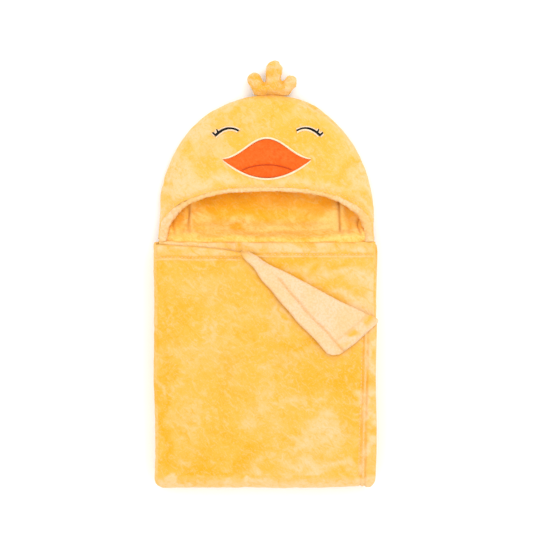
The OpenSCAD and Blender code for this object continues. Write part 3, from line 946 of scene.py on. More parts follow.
    # The pale strip where the front turns over the bottom fold, and the paler turns of the left and bottom
    # folds, are painted sheen where the cloth curves away.
    edge_run = 2.5 * warp_fine(x, 5.0) + 3.5 * warp(x, 20.0) - 5 * bump(x, -64, 44)
    turned = smooth((BOTTOM_FOLD_Y - 1.5 + edge_run - y) / 2.2) * (kind <= BOTTOM_FOLD) * (t < 1.8) * is_top
    pale = np.maximum(pale, 0.9 * turned)
    pale = np.maximum(pale, np.where(part == LEFT_FOLD, 0.5, 0))
    pale = np.maximum(pale, np.where(kind == BOTTOM_FOLD, 0.6 * smooth(bent * 1.6), 0))
    deep = np.clip(deep, 0, 0.95) * (1 - unit(pale)) * (1 - turned)
    frayed = np.clip(0.65 + 0.6 * crush(x, y, 5), 0.25, 1)
    # Darker grooves beside the hem stitching are painted shade, and flap_shade adds the painted shadow of the
    # turned corner.
    crease = 0.42 * unit(side_groove) * frayed + 0.16 * unit(top_groove) * frayed
    crease = crease + 0.36 * flap_shade(x, y) * on_front
    piece = cloth("towel_sheet", mid, normal, over, thick, face_plush,
                  {"pale": pale, "deep": deep, "crease": crease}, floor=0.25)
    settle(piece, "towel_body", "plush_face", "body_panel")
    return piece


def hem_stitching(sheet):
    """The sewn rows on the front layer and on the layer beneath it."""
    skin = Skin(sheet)
    y = np.arange(CREASE_END[1] - 20, BOTTOM_FOLD_Y - 5, -2.0)
    rows = {
        "side_hem_row_outer": np.stack([drawn_in(hem_line_x(y) + 2.3, y), y], axis=1),
        "side_hem_row_inner": np.stack([drawn_in(hem_line_x(y) - 2.5, y), y], axis=1),
    }
    x = np.arange(-HALF_W + 3, CREASE_START[0] + 3, 2.0)
    rows["top_hem_row"] = np.stack([x, hem_line_y(x)], axis=1)
    x = np.arange(CREASE_START[0] + 26, HALF_W - 6, 2.0)
    rows["under_hem_row"] = np.stack([x, np.full_like(x, NECK_Y - HEM_W)], axis=1)
    stands_for = {"side_hem_row_outer": "side_hem_thread", "top_hem_row": "front_hem_thread",
                  "under_hem_row": "under_hem_thread"}
    for name, xy in rows.items():
        piece = stitches(name, xy, skin, hem_yarn, sink=0.35)
        settle(piece, "towel_body", "hem_thread", *([stands_for[name]] if name in stands_for else []))


def neck_tape():
    """The tape sewn in between the towel's edge and the hood."""
    low, high = node_box("neck_tape")
    length = high[0] - low[0]
    x = low[0] + stations(length, 3.0, 0.4, 0.4)[:, None]
    v = stations(3.8, 0.6, 0.2, 0.2)[None, :]
    y = NECK_Y + 0.32 + 0.1 * side_pucker(x, 0, v) + 0 * v
    z = low[2] - 0.3 + v + 0.15 * edge_drift(x, 0) + 0 * x
    mid = np.stack([x + 0 * v, y, z], axis=2)
    normal = grid_normals(mid)
    thin = 0.22 * edge_round(np.minimum(x - low[0], high[0] - x) + 0 * v, 0.2) * edge_round(
        np.minimum(v, 3.8 - v) + 0 * x, 0.2)
    piece = cloth("neck_tape_strip", mid, normal, thin, thin, tape_weave)
    settle(piece, "towel_body", "neck_tape", "neck_tape")


# ---------------------------------------------------------------- the turned corner

corner_nub = Waves(21, 3.2)
BEND_IN = 3.35
BEND_R = 1.75
FLAP_HEM = 15.5


def corner_sheet(sheet):
    """The turned corner, from its free hem to where it rolls over the crease."""
    long_way, across_way = corner_ways()
    start_a = 2.0
    ends = [(0, 24), (CORNER_W - 24, CORNER_W)]
    a = stations(CORNER_W - start_a, 1.8, end_edge=HALF, fine=ends, fine_step=1.1)
    a = a[:, None] + start_a
    share = stations(1.0, 0.034, start_edge=0.025, fine=[(0, 0.32)], fine_step=0.02)[None, :]
    turns = np.linspace(0, math.pi, 9)[1:]
    grown = corner_growth(a)
    s = a / CORNER_W

    # The long hem bows out, and the crease side follows the rolled crease.
    start_xy = CREASE_START[:2] + a[..., None] * long_way - hem_bulge(a)[..., None] * across_way
    along = s * CREASE_L
    on_crease = CREASE_START[:2] + along[..., None] * CREASE_WAY - crease_swell(along)[..., None] * CREASE_IN
    end_xy = on_crease + (BEND_IN * grown)[..., None] * CREASE_IN
    width = np.maximum(np.linalg.norm(end_xy - start_xy, axis=-1), 1.0)
    xy = mix(start_xy, end_xy, share[..., None])
    tip_r = 9.0
    b = share * width
    p, q = np.clip(a - (CORNER_W - tip_r), 0, None) / tip_r, np.clip(tip_r - b, 0, None) / tip_r
    both = p * q
    xy = xy + (both * tip_r * 0.33)[..., None] * (across_way - long_way)
    side_bow = 2.2 * np.sin(math.pi * share) * smooth((a - CORNER_W + 26) / 26)
    xy = xy + side_bow[..., None] * long_way

    # It lies on the front layer, a little lifted along its free hem.
    below, _ = Skin(sheet).drop(xy)
    low_z = soften(soften(below[..., 2], 2).T, 2).T
    z = low_z + (HALF + 0.1) * grown + 0.45 * grown * (1 + curl(xy[..., 0], xy[..., 1], 8))
    z = mix(z, np.maximum(low_z[:, -1:], STACK_T) + (HALF + 0.3) * grown,
            smooth((share - 0.8) / 0.2) * smooth((a - 2) / 12))
    z = z + 1.0 * bump(share * width, 5, 7) * np.sin(math.pi * unit(s))
    flat = np.concatenate([xy, z[..., None]], axis=2)
    radius = BEND_R * grown
    bent_xy = end_xy - CREASE_IN * (radius * np.sin(turns))[..., None]
    bent_z = (z[:, -1:] - radius + radius * np.cos(turns))[..., None]
    mid = np.concatenate([flat, np.concatenate([bent_xy, bent_z], axis=2)], axis=1)
    normal = facing_up(mid, cols=5)

    at_edge = np.concatenate([b, np.full((len(a), len(turns)), FAR)], axis=1)
    from_side = np.broadcast_to(CORNER_W - a, at_edge.shape)
    bend_end = np.concatenate([np.full(share.shape[1], FAR), (math.pi - turns) * BEND_R])[None, :]
    thick = HALF * edge_round(at_edge) * edge_round(from_side) * edge_round(bend_end) * grown
    thick[0] = 0
    k = thick / HALF
    x, y = mid[..., 0], mid[..., 1]
    groove = bump(at_edge, FLAP_HEM, 1.2)
    ridge = bump(at_edge, FLAP_HEM + 2.6, 1.3)
    band = smooth(at_edge / 2.4) * smooth((FLAP_HEM - 1 - at_edge) / 3)
    side_groove = 0.5 * bump(from_side, HEM_W - 1, 1.2) * smooth((at_edge - 8) / 6)
    groove = groove * smooth((width - 19) / 8)
    side_band = smooth(from_side / 2) * smooth((HEM_W - 2 - from_side) / 3)
    over = thick + k * (0.75 * np.maximum(band, side_band) + 0.4 * ridge
                        - 0.95 * np.maximum(groove, side_groove)
                        + 0.14 * corner_nub(x, y) + 0.4 * band * side_pucker(x, y, 2)
                        + 0.3 * side_band * pucker(x, y, 4))
    # Darker along the long hem's rolled edge and in the hem grooves: painted shade.
    deep = 0.25 * bump(at_edge, 0.5, 1.5)
    crease = 0.38 * np.maximum(groove, side_groove) + 0.15 * bump(at_edge, 0.2, 0.8) * smooth(a / 20)
    crease = crease * smooth((a - 2) / 10)
    patchy = unit(0.55 + 1.1 * soft_wrinkle(x * 2.6, y * 2.6, 9))
    face = bump(from_side, 9, 4.6) * patchy * smooth((at_edge - 12) / 8)
    face = np.maximum(face, 0.7 * smooth((16 - a) / 12))
    face = np.maximum(face, np.where(bend_end < 2.6, 1.0, 0.0))
    piece = cloth("turned_corner", mid, normal, over, thick, reverse_terry,
                  {"deep": deep, "face": (face, np.ones_like(face)),
                   "crease": (crease, np.zeros_like(crease))})
    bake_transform(piece)
    entitle(piece, "plush_reverse", "corner_panel")

    # Both hems' stitches follow the same grooves.
    skin = Skin(piece)
    row_start = 44
    long_rows = [i for i in range(len(a)) if row_start < a[i, 0] < CORNER_W - HEM_W]
    long_line = np.array([mid[i, np.argmin(np.abs(at_edge[i] - FLAP_HEM)), :2] for i in long_rows])
    side_row = int(np.argmin(np.abs(from_side[:, 0] - HEM_W + 1)))
    side_cols = [j for j in range(share.shape[1]) if HEM_W < at_edge[side_row, j] < CORNER_H - 10]
    side_line = mid[side_row, side_cols, :2]
    for name, line, nodes in (("corner_long_row", soften(long_line, 12), ["corner_hem_thread"]),
                              ("corner_side_row", side_line, [])):
        settle(stitches(name, line, skin, hem_yarn, sink=0.5), "corner", "hem_thread", *nodes)


# ---------------------------------------------------------------- the hood's surfaces


def reach(x, y):
    """How near a place is to the hood's outline: 0 in the middle, 1 on it."""
    return (np.abs((x - HOOD_X) / HOOD_RX) ** DOME_N
            + np.maximum(0, (y - DOME_Y) / HOOD_RY) ** DOME_N) ** (1 / DOME_N)


def half_w(y, share=1.0):
    """The hood's half width, or that of the same shape drawn smaller."""
    left = share**DOME_N - np.maximum(0, (y - DOME_Y) / HOOD_RY) ** DOME_N
    return HOOD_RX * np.maximum(0, left) ** (1 / DOME_N)


def lift(y):
    """How high the hood's underside stands: it climbs to the towel's edge."""
    return NECK_LIFT * (1 - smooth((y - HOOD_START_Y) / RAMP_L))


def seam_z(y):
    """The height of the seam between the hood's front and back."""
    return lift(y) + mix(NECK_SEAM_H, DOME_SEAM_H, smooth((y - HOOD_START_Y) / RAMP_L))


def front_z(x, y):
    """The hood's domed top."""
    rise = mix(0.15, 1, smooth((y - NECK_Y) / 66))
    return seam_z(y) + EDGE_T + HOOD_RISE * rise * np.maximum(0, 1 - reach(x, y) ** 2.6) ** 0.55


def back_z(x, y):
    """The hood's underside, which turns up to the seam at its edge."""
    return mix(lift(y), seam_z(y) - EDGE_T, smooth((reach(x, y) - 0.84) / 0.16))


def mouth(a):
    """The middle of the binding round the opening, at a turn from 0, left, to pi, right."""
    c, s = np.cos(a), np.sin(a)
    x = HOOD_X - MOUTH_W / 2 * np.sign(c) * np.abs(c) ** (2 / MOUTH_N)
    start = HOOD_START_Y + 1
    return np.stack([x, start + (NECK_Y + MOUTH_L - start) * np.abs(s) ** (2 / MOUTH_N)], axis=-1)


def way_out(a):
    """The direction away from the opening."""
    step = 0.015
    d = mouth(np.minimum(math.pi, a + step)) - mouth(np.maximum(0, a - step))
    d /= np.linalg.norm(d, axis=-1, keepdims=True)
    return np.stack([-d[..., 1], d[..., 0]], axis=-1)


def laid_x(x, y):
    """The hood as it lies: a little narrower than its pattern, with its crown drawn to the right."""
    side = smooth(np.abs(x - HOOD_X) / HOOD_RX - 0.5)
    pulled = 1.9 * bump(y, MOUTH_TOP_Y - 24, 11) * smooth((HOOD_X - x) / HOOD_RX * 2 - 1)
    return x - 0.7 - 0.012 * (x - HOOD_X) + 3.6 * smooth((y - CROWN_Y + 26) / 18) * (1 - side) + pulled


def outline(a):
    """The hood's outline at a turn from 0, left, to pi, right."""
    y = mix(HOOD_START_Y + 1, CROWN_Y, np.abs(np.sin(a)) ** 1.05)
    y = np.minimum(y, CROWN_Y - 0.01)
    return np.stack([HOOD_X - np.sign(np.cos(a)) * half_w(y), y], axis=-1)


def rim_width(a):
    """The turned edge is narrow over the top of the opening and broad at its shoulders."""
    return mix(10.4, 5.0, smooth((np.sin(a) - 0.30) / 0.62)) - 1.0 * (1 - smooth(np.sin(a) / 0.4))


def rim_middle(a):
    """The binding's middle: it stands further out at the sides, where it reaches the hood's outline."""
    return mouth(a) + way_out(a) * (1.5 * (1 - smooth((np.sin(a) - 0.3) / 0.5)))[..., None]


def neck_rise(y, length=14.0):
    """The plies climb the towel's edge to where they are sewn in, 1 at the neck."""
    return 1 - smooth((y - NECK_Y - 0.4) / length)


def sew_at_neck(piece, slot, node):
    """The hood's plies are sewn to the towel at the neck."""
    sew(piece, ("towel_body", "hood"), NECK_Y, (0.5, 8), slot, node)


face_wave = Waves(31, 60)
face_fold = Waves(32, 24, stretch=(1.6, 1, 1))
face_crush = Waves(33, 10)
seam_pucker = Waves(34, 10)
rumple = Waves(35, 9, stretch=(5, 1, 1))
lining_wave = Waves(36, 36)
nub = Waves(37, 3.0)
nub_wide = Waves(38, 9)


def on_hood(patches):
    """Patches given in shares of the hood's half width and length, in millimetres."""
    length = CROWN_Y - NECK_Y
    return [(HOOD_X + u * HOOD_RX, NECK_Y + v * length, p * HOOD_RX, q * length, s)
            for u, v, p, q, s in patches]


HOOD_PALE = on_hood([
    (-0.60, 0.76, 0.16, 0.07, 0.9), (-0.80, 0.46, 0.14, 0.12, 1.0), (0.72, 0.72, 0.12, 0.16, 0.75),
    (0.92, 0.44, 0.08, 0.14, 0.75), (-0.44, 0.40, 0.16, 0.035, 0.9), (0.10, 0.385, 0.34, 0.022, 0.7),
    (0.34, 0.86, 0.18, 0.04, 0.75), (-0.16, 0.80, 0.14, 0.05, 0.5), (-0.34, 0.92, 0.22, 0.03, 0.6),
    (0.42, 0.52, 0.12, 0.05, 0.45), (-0.72, 0.36, 0.16, 0.05, 0.7), (0.62, 0.38, 0.16, 0.035, 0.6),
    (-0.52, 0.60, 0.10, 0.05, 0.4), (-0.90, 0.58, 0.07, 0.07, 0.6),
])
HOOD_DEEP = on_hood([
    (0.80, 0.47, 0.13, 0.05, 0.75), (-0.28, 0.84, 0.12, 0.06, 0.6), (0.02, 0.88, 0.03, 0.10, 0.6),
    (0.44, 0.66, 0.14, 0.06, 0.45), (-0.56, 0.55, 0.12, 0.05, 0.45), (-0.80, 0.31, 0.12, 0.03, 0.6),
    (0.86, 0.29, 0.10, 0.07, 0.55), (0.16, 0.72, 0.14, 0.06, 0.35), (-0.30, 0.64, 0.14, 0.06, 0.3),
    (0.70, 0.31, 0.10, 0.04, 0.3), (0.16, 0.95, 0.2, 0.02, 0.5),
])
# The pale patches low down towards the neck are painted highlight.
LINING_PALE = on_hood([
    (-0.60, 0.16, 0.16, 0.05, 1.0), (0.10, 0.095, 0.55, 0.04, 1.4), (0.62, 0.14, 0.12, 0.05, 1.1),
    (-0.25, 0.07, 0.30, 0.02, 0.7), (0.33, 0.19, 0.14, 0.03, 0.5), (0.82, 0.12, 0.05, 0.06, 0.6),
    (-0.66, 0.29, 0.05, 0.06, 0.45), (0.46, 0.045, 0.3, 0.012, 0.8),
])
# The broad deep band at the top of the opening, under the binding, is painted shade.
LINING_DEEP = on_hood([
    (0.0, 0.40, 0.80, 0.09, 0.9), (-0.52, 0.24, 0.04, 0.12, 0.5), (0.52, 0.26, 0.10, 0.07, 0.4),
    (-0.82, 0.14, 0.09, 0.09, 0.7), (-0.30, 0.20, 0.12, 0.04, 0.3), (0.88, 0.20, 0.08, 0.06, 0.6),
    (0.12, 0.055, 0.20, 0.008, 0.6),
])


def front_mid(x, y):
    """The middle of the hood's front ply."""
    inner = smooth((1 - reach(x, y)) / 0.14)
    centre_fold = -0.9 * bump(x, FACE_X + 3, 3.5) * smooth((y - EYE_Y) / 16) * smooth((CROWN_Y + 4 - y) / 12)
    z = front_z(x, y) - HALF + inner * (0.9 * face_wave(x, y) + 0.4 * face_fold(x, y) + centre_fold)
    return np.maximum(z, seam_z(y) + 1.1)


def hood_front_sheet():
    """The hood's front outer ply, from the binding to the seam."""
    a = np.linspace(0, math.pi, 189)[None, :]
    share = stations(1.0, 0.028, start_edge=0.03, end_edge=0.02, fine=[(0.82, 1.0)], fine_step=0.015)[:, None]
    start = rim_middle(a) + way_out(a) * (rim_width(a) / 2 - 1.2)[..., None]
    end = outline(a)
    xy = mix(start, end, share[..., None])
    x, y = xy[..., 0], xy[..., 1]
    mid = np.stack([laid_x(x, y), y, front_mid(x, y) + 8.0 * neck_rise(y)], axis=2)
    normal = facing_up(mid)
    span = np.linalg.norm(end - start, axis=-1)
    from_rim, from_seam = share * span, (1 - share) * span
    thick = HALF * edge_round(from_rim) * edge_round(from_seam)
    thick[:, 0] = thick[:, -1] = 0
    k = thick / HALF
    edge_line = bump(from_seam, 3.6, 1.0) * smooth((a - 1.75) / 0.15) * smooth((2.6 - a) / 0.3)
    over = thick + k * (0.18 * face_crush(x, y) + 0.15 * bump(from_seam, 4, 5) * seam_pucker(x, y)
                        + 0.5 * bump(from_seam, 7, 5) - 0.5 * edge_line
                        - 0.25 * bump(from_rim, 4.6, 1.5) + 0.5 * bump(from_rim, 7.6, 2.6))
    # HOOD_PALE is the pile's tone; paler towards the outline, where the dome curves away, is painted sheen,
    # and the pale band on the swell beside the binding is painted highlight.
    near_edge = smooth((0.085 - (1 - reach(x, y))) / 0.085)
    pale = (painted(x, y, HOOD_PALE, 6) + 0.5 * near_edge
            + 0.55 * bump(from_rim, 9, 4) * (0.8 + 0.5 * face_fold(x, y)))
    # Darker in the groove beside the binding: painted shade.
    deep = painted(x, y, HOOD_DEEP, 6) + 0.2 * bump(from_rim, 3.0, 1.6)
    # Darker round the tuft's root on the crown: painted shade under the tuft.
    tuft_shade = bump(x, TUFT_X - 4, 22) * smooth((y - CROWN_Y + 8) / 6)
    deep = np.clip(deep + 0.9 * tuft_shade, 0, 0.95) * (1 - 0.6 * unit(pale * (1 - tuft_shade)))
    # The crease attribute here is painted shade in the dent by the seam and under the tuft.
    crease = 0.35 * edge_line + 0.5 * tuft_shade * bump(y, CROWN_Y - 1.5, 2)
    piece = cloth("hood_front", mid, normal, over, thick, hood_plush,
                  {"pale": np.clip(pale * (1 - tuft_shade), 0, 0.9), "deep": deep, "crease": crease})
    sew_at_neck(piece, "plush_face", "hood_front_shell")
    return piece


def hood_front_lining():
    """The lining of the hood's front, under the front ply."""
    a = np.linspace(0.30, math.pi - 0.30, 96)[None, :]
    share = stations(1.0, 0.05, start_edge=0.03, end_edge=0.03)[:, None]
    start = rim_middle(a) + way_out(a) * 0.6
    end = mix(start, outline(a), 0.86)
    xy = mix(start, end, share[..., None])
    x, y = xy[..., 0], xy[..., 1]
    drop = PLY + 0.35 + 0.5 * smooth(1 - share * 6)
    mid = np.stack([laid_x(x, y), y, front_mid(x, y) - drop], axis=2)
    mid[..., 2] = np.maximum(mid[..., 2], seam_z(y) + HALF)
    normal = facing_up(mid)
    span = np.linalg.norm(end - start, axis=-1)
    along = np.linspace(0, 1, a.shape[1])[None, :]
    thick = (HALF * edge_round(share * span) * edge_round((1 - share) * span)
             * edge_round(np.minimum(along, 1 - along) * 260 + 0 * share))
    piece = cloth("hood_front_lining_ply", mid, normal, thick, thick, lining_plush,
                  {"pale": 0.3 + 0 * x, "deep": 0.3 + 0 * x})
    settle(piece, "hood", "plush_lining", "hood_front_lining")


def pleat_depth(x, y):
    """The lining's sewn pleats and creases: (groove, ridge beside it)."""
    top = MOUTH_TOP_Y + 20
    up = y - NECK_Y
    lines = [(-HOOD_RX * 0.705 - 0.055 * up, 1.0), (HOOD_RX * 0.69 - 0.013 * up + 2.5 * bump(up, 4, 9), 1.0),
             (HOOD_RX * 0.866 + 0.06 * up + 1.5 * np.sin(up / 4), 0.85 * smooth((40 - up) / 12)),
             (-HOOD_RX * 0.84 - 0.12 * up + 1.2 * np.sin(up / 5), 0.6 * smooth((30 - up) / 10)),
             (-HOOD_RX * 0.79 + 0.30 * up, 0.35 * smooth((26 - up) / 10)),
             (HOOD_RX * 0.76 + 0.22 * up, 0.4 * smooth((22 - up) / 10))]
    groove, ridge = 0, 0
    for line, strength in lines:
        side = np.sign(line)
        strength = strength * smooth((up - 4) / 6) * smooth((top - y) / 12)
        groove = groove + strength * bump(x, line, 1.4)
        ridge = ridge + strength * (bump(x, line - 4.0 * side, 3.4) + 0.6 * bump(x, line + 4.5 * side, 3))
    return groove, ridge


def hood_back_plies():
    """The hood's back: its outer ply, and its lining, which shows in the opening."""
    for lining in (False, True):
        neck_start = NECK_Y + (-1.6 if lining else 0.4)
        share = 0.945 if lining else 1.0
        col_step, row_step = (0.011, 2.0) if lining else (0.02, 5.0)
        pinched = 1.2 if lining else 2.5
        cols = stations(1.0, col_step, 0.014, 0.014)[None, :]
        length = DOME_Y + share * HOOD_RY - neck_start
        rows = stations(length, row_step, start_edge=HALF, end_edge=HALF * 2,
                        fine=[(0, 22), (length - 10, length)], fine_step=1.2)[:, None]
        y = neck_start + rows
        w = np.maximum(half_w(np.minimum(y, neck_start + length - 0.05), share), 1.0)
        pinch = pinched * (1 - smooth((y - NECK_Y) / 9))
        x = HOOD_X - (w - pinch) * np.cos(math.pi * cols)
        y = y + 0 * x
        z = back_z(x, y) + HALF + 8.0 * neck_rise(y)
        groove = ridge = 0 * x
        if lining:
            middle = smooth((HOOD_RX - 18 - np.abs(x - HOOD_X)) / 25)
            z = z + PLY + 0.35 + 2.9 * neck_rise(y, 20) + 5.0 * middle * (neck_rise(y, 26) - neck_rise(y, 17))
            inner = smooth((share - reach(x, y)) / 0.1)
            groove, ridge = pleat_depth(x, y)
            crumpled = smooth((np.abs(x - HOOD_X) / HOOD_RX - 0.55) / 0.25)
            crumpled = crumpled * smooth((MOUTH_TOP_Y - 22 - y) / 12)
            neck_rumple = bump(y, NECK_Y + 7, 7) * rumple(x, y)
            z = z + inner * (0.9 + 0.9 * lining_wave(x, y) + 1.5 * ridge - 1.3 * groove
                             + 1.2 * crumpled * face_fold(x, y, 20))
            z = z + 1.5 * neck_rumple * smooth((y - neck_start) / 4)
            z = z - 7.0 * smooth((np.abs(x - HOOD_X) - HOOD_RX + 24) / 14) * neck_rise(y, 24)
        mid = np.stack([laid_x(x, y), y, np.maximum(z, HALF + 0.3)], axis=2)
        normal = facing_up(mid)
        edge = np.minimum(rows, length - rows)
        from_side = (1 - np.abs(np.cos(math.pi * cols))) * w
        thick = HALF * edge_round(edge) * edge_round(from_side)
        thick[:, 0] = thick[:, -1] = 0
        k = thick / HALF
        over = thick + k * (0.15 * face_crush(x, y, 60))
        if lining:
            over = over + k * (-1.0 * groove + 0.3 * lining_wave(x * 2, y * 2, 4))
        pale, deep, crease = 0.25 + 0 * x, 0 * x, 0 * x
        if lining:
            # Paler on the pleats' ridges and the raised rumples, darker on the sunken rumples and in the
            # pleat grooves: painted highlight and painted shade.
            rumpled = bump(y, NECK_Y + 7, 6) * rumple(x, y)
            # On the slope that climbs to the neck, deep and pale are laid on together: painted shade that
            # dulls the light falling on it.
            climbing = smooth((NECK_Y + 15 - y) / 8)
            pale = painted(x, y, LINING_PALE, 6) + 0.5 * ridge + 0.8 * unit(rumpled)
            pale = pale + climbing * (0.95 + 0.5 * lining_wave(x, y, 50))
            deep = painted(x, y, LINING_DEEP, 6) + 0.5 * unit(-rumpled)
            deep = np.clip(deep, 0, 0.9) * (1 - 0.7 * unit(pale))
            deep = np.maximum(deep, 0.52 * climbing * (1 - 0.6 * unit(rumpled)))
            crease = 0.9 * unit(groove)
        name = "hood_back_lining_ply" if lining else "hood_back"
        piece = cloth(name, mid, normal, over, thick, lining_plush if lining else hood_plush,
                      {"pale": np.clip(pale, 0, 0.9), "deep": deep, "crease": crease}, floor=0.2)
        if lining:
            sew_at_neck(piece, "plush_lining", "hood_back_lining")
        else:
            sew_at_neck(piece, "plush_face", "hood_back_shell")


def hood_rim():
    """The turned and stitched edge round the opening, nubby like the reverse of the plush."""
    a = np.linspace(0, math.pi, 700)
    line = rim_middle(a)
    legs = np.array([[0, -1.6], [0, -3.2]])
    line = np.concatenate([(line[0] + legs)[::-1], line, line[-1] + legs])
    turn = np.concatenate([[0, 0], a, [math.pi, math.pi]])
    path = resample(np.column_stack([line, turn]), 0.85)
    xy, turn = path[:, :2], path[:, 2]
    out = way_out(turn)
    risen = neck_rise(xy[:, 1])
    top = front_z(*mouth(turn).T) + 1.0 + 8.2 * risen + 0.35 * nub_wide(xy[:, 0], xy[:, 1])
    tall = np.minimum(7.4 + 2.5 * risen, top - seam_z(np.maximum(xy[:, 1], HOOD_START_Y)) - 0.3)
    width = rim_width(turn) * (1 + 0.06 * nub_wide(xy[:, 0], xy[:, 1], 40))
    xy = np.column_stack([laid_x(xy[:, 0], xy[:, 1]), xy[:, 1]])
    sides = 30
    t = 2 * math.pi * np.arange(sides) / sides
    c, s = np.cos(t), np.sin(t)
    squarish = 2.4
    u = np.sign(c) * np.abs(c) ** (2 / squarish)
    v = np.sign(s) * np.abs(s) ** (2 / squarish)
    base = np.column_stack([xy, top - tall / 2])
    across = np.column_stack([out, np.zeros(len(out))])
    ring = base[:, None] + across[:, None] * (u * width[:, None] / 2)[..., None]
    ring[..., 2] += v * tall[:, None] / 2
    away = ring - base[:, None]
    away /= np.linalg.norm(away, axis=2, keepdims=True)
    x, y, z = np.moveaxis(ring, -1, 0)
    rough = 0.30 * nub(x, y, z) + 0.22 * nub_wide(x, y, 9)
    ring = ring + away * rough[..., None]
    # Darker on the binding's inner side and underside: painted shade.
    deep = unit(0.5 * smooth((-u - 0.72) / 0.28) + 0.35 * smooth(-v))[None, :] + 0 * width[:, None]
    face = 0.25 * unit(nub_wide(ring[..., 0], ring[..., 1], 70)) * smooth(u)[None, :]
    piece = make_object("hood_rim", ring.reshape(-1, 3), tube_faces(*ring.shape[:2]), rim_terry,
                        {"deep": deep, "face": face})
    sew_at_neck(piece, "rim_binding", "hood_rim_binding")


def rim_stitching(skin):
    """The row of stitches beside the binding."""
    a = np.linspace(0.42, math.pi - 0.42, 200)
    line = rim_middle(a) + way_out(a) * (rim_width(a) / 2 + 2.4)[..., None]
    line[:, 0] = laid_x(line[:, 0], line[:, 1])
    piece = stitches("rim_row", line, skin, hem_yarn, width=0.7, sink=0.25)
    settle(piece, "hood", "hem_thread", "hood_rim_thread")


# ---------------------------------------------------------------- the face

beak_low, beak_high = node_box("beak_patch")
BEAK_POINT = 0.985  # the CAD beak ends short of its points
BEAK_HALF = (beak_high[0] - beak_low[0]) / 2 / BEAK_POINT
BEAK_UP = beak_high[1] - BEAK_Y
BEAK_DOWN = BEAK_Y - beak_low[1]
LIPS_HALF = 27.5
beak_wave = Waves(41, 30)
beak_fine = Waves(42, 7)


def beak_top(t):
    """The beak's upper edge, from -1, its left point, to 1."""
    return np.stack([FACE_X - 1 + t * BEAK_HALF, BEAK_Y + BEAK_UP * (1 + np.cos(math.pi * t)) / 2], axis=-1)


def beak_chin(t):
    """The beak's lower edge."""
    return np.stack([FACE_X - 1 + t * BEAK_HALF, BEAK_Y - BEAK_DOWN * (1 - t * t)], axis=-1)


def lips_y(x):
    """The line of the closed beak."""
    return BEAK_Y - 6.3 - 5.6 * ((x - FACE_X + 0.8) / LIPS_HALF) ** 2


def beak(skin):
    """The beak, an applique of short orange plush with a satin-stitched border."""
    t = 0.998 * np.sin(np.linspace(-math.pi / 2, math.pi / 2, 81))[None, :]
    rows = np.linspace(0, 1, 35)[:, None]
    xy = mix(beak_chin(t), beak_top(t), rows[..., None])
    points, normals = skin.drop(xy)
    points[..., 2] = soften(soften(points[..., 2], 2).T, 2).T
    height = np.linalg.norm(beak_top(t) - beak_chin(t), axis=-1)
    side = (1 - np.abs(t)) * BEAK_HALF
    depth = np.minimum(np.minimum(rows, 1 - rows) * height * 0.8, side * 0.9 + 0.02)
    depth[0] = depth[-1] = 0
    depth[:, 0] = depth[:, -1] = 0
    thin = 0.55
    x, y = points[..., 0], points[..., 1]
    lips = y - lips_y(x)
    from_middle = np.abs(x - FACE_X + 0.8)
    groove = bump(lips, 0, 1.3) * smooth((LIPS_HALF + 5 - from_middle) / 6)
    below_lips = smooth(-lips / 3) * smooth((LIPS_HALF + 4 - from_middle) / 10)
    over = edge_round(depth, 2.2) * (
        thin + 1.5 * smooth(depth / 9) - 0.85 * groove + 0.5 * below_lips
        + 0.22 * beak_wave(x, y) + 0.06 * beak_fine(x, y))
    under = 0.35 * edge_round(depth, 1.5)
    # Paler on the beak's raised top is painted highlight; darker in the lips' groove and towards the border
    # is painted shade, and it is also darker below the lips.
    piece = cloth("beak_applique", points + normals * 0.45, normals, over, under, beak_plush,
                  {"pale": 0.3 * smooth(depth / 10) * smooth(lips / 10),
                   "deep": 0.9 * groove + 0.35 * smooth(1 - depth / 4) + 0.3 * below_lips})
    settle(piece, "hood", "beak_plush", "beak_patch")
    joined = Skin(bpy.data.objects["hood_front"], piece)
    t = np.sin(np.linspace(-math.pi / 2, math.pi / 2, 120))
    taper = 2.5 * (1 - 0.6 * t**8)
    rows = [satin(f"border_{k}", line + [0, out * 1.15], taper, joined, cream_yarn, height=1.1, above=0.3)
            for k, (line, out) in enumerate(((beak_top(t), 1), (beak_chin(t), -1)))]
    settle(join("beak_border", rows), "hood", "cream_thread", "beak_edging")
    t = np.linspace(-1, 1, 60)
    lip_x = FACE_X - 0.8 + LIPS_HALF * t
    lips = np.stack([lip_x, lips_y(lip_x)], axis=1)
    line = satin("beak_mouth", lips, 1.2 * np.sqrt(np.maximum(0.15, 1 - t * t)), joined, beak_yarn,
                 height=0.6, above=0.05, lean=1.2)
    settle(line, "hood", "beak_thread", "mouth_stitching")


def eye_lines(side):
    """The lid and the two lashes of an eye, each as a line and its width."""
    s = np.linspace(0, 1, 40)
    lid = np.stack([FACE_X + side * (32.5 + 26.5 * s), EYE_Y - 8.4 * ((s - 0.38) / 0.62) ** 2], axis=1)
    lid_w = 3.0 + 0.6 * smooth((s - 0.15) / 0.75)
    first = np.array([[FACE_X + side * 55.6, EYE_Y - 5.2], [FACE_X + side * 57.4, EYE_Y - 1.2]])
    second = np.array([[FACE_X + side * 58.6, EYE_Y - 8.0], [FACE_X + side * 62.0, EYE_Y - 4.6]])
    return [(lid, lid_w), (first, np.array([2.9, 2.3])), (second, np.array([3.0, 2.4]))]


def eye(side, name, skin):
    """A closed eye in black satin stitch on a wider cream one."""
    for layer, (extra, yarn_used, above, height, slot) in {
            "halo": (3.2, cream_yarn, 0.45, 0.8, "cream_thread"),
            "line": (0.0, black_yarn, 0.85, 0.9, "black_thread")}.items():
        parts = [satin(f"{name}_{layer}_{i}", line, width + extra, skin, yarn_used, pitch=0.5, height=height,
                       above=above) for i, (line, width) in enumerate(eye_lines(side))]
        node = f"{name}_backing" if layer == "halo" else f"{name}_stitching"
        piece = join(f"{name}_{layer}", parts)
        settle(piece, "hood", slot, node)


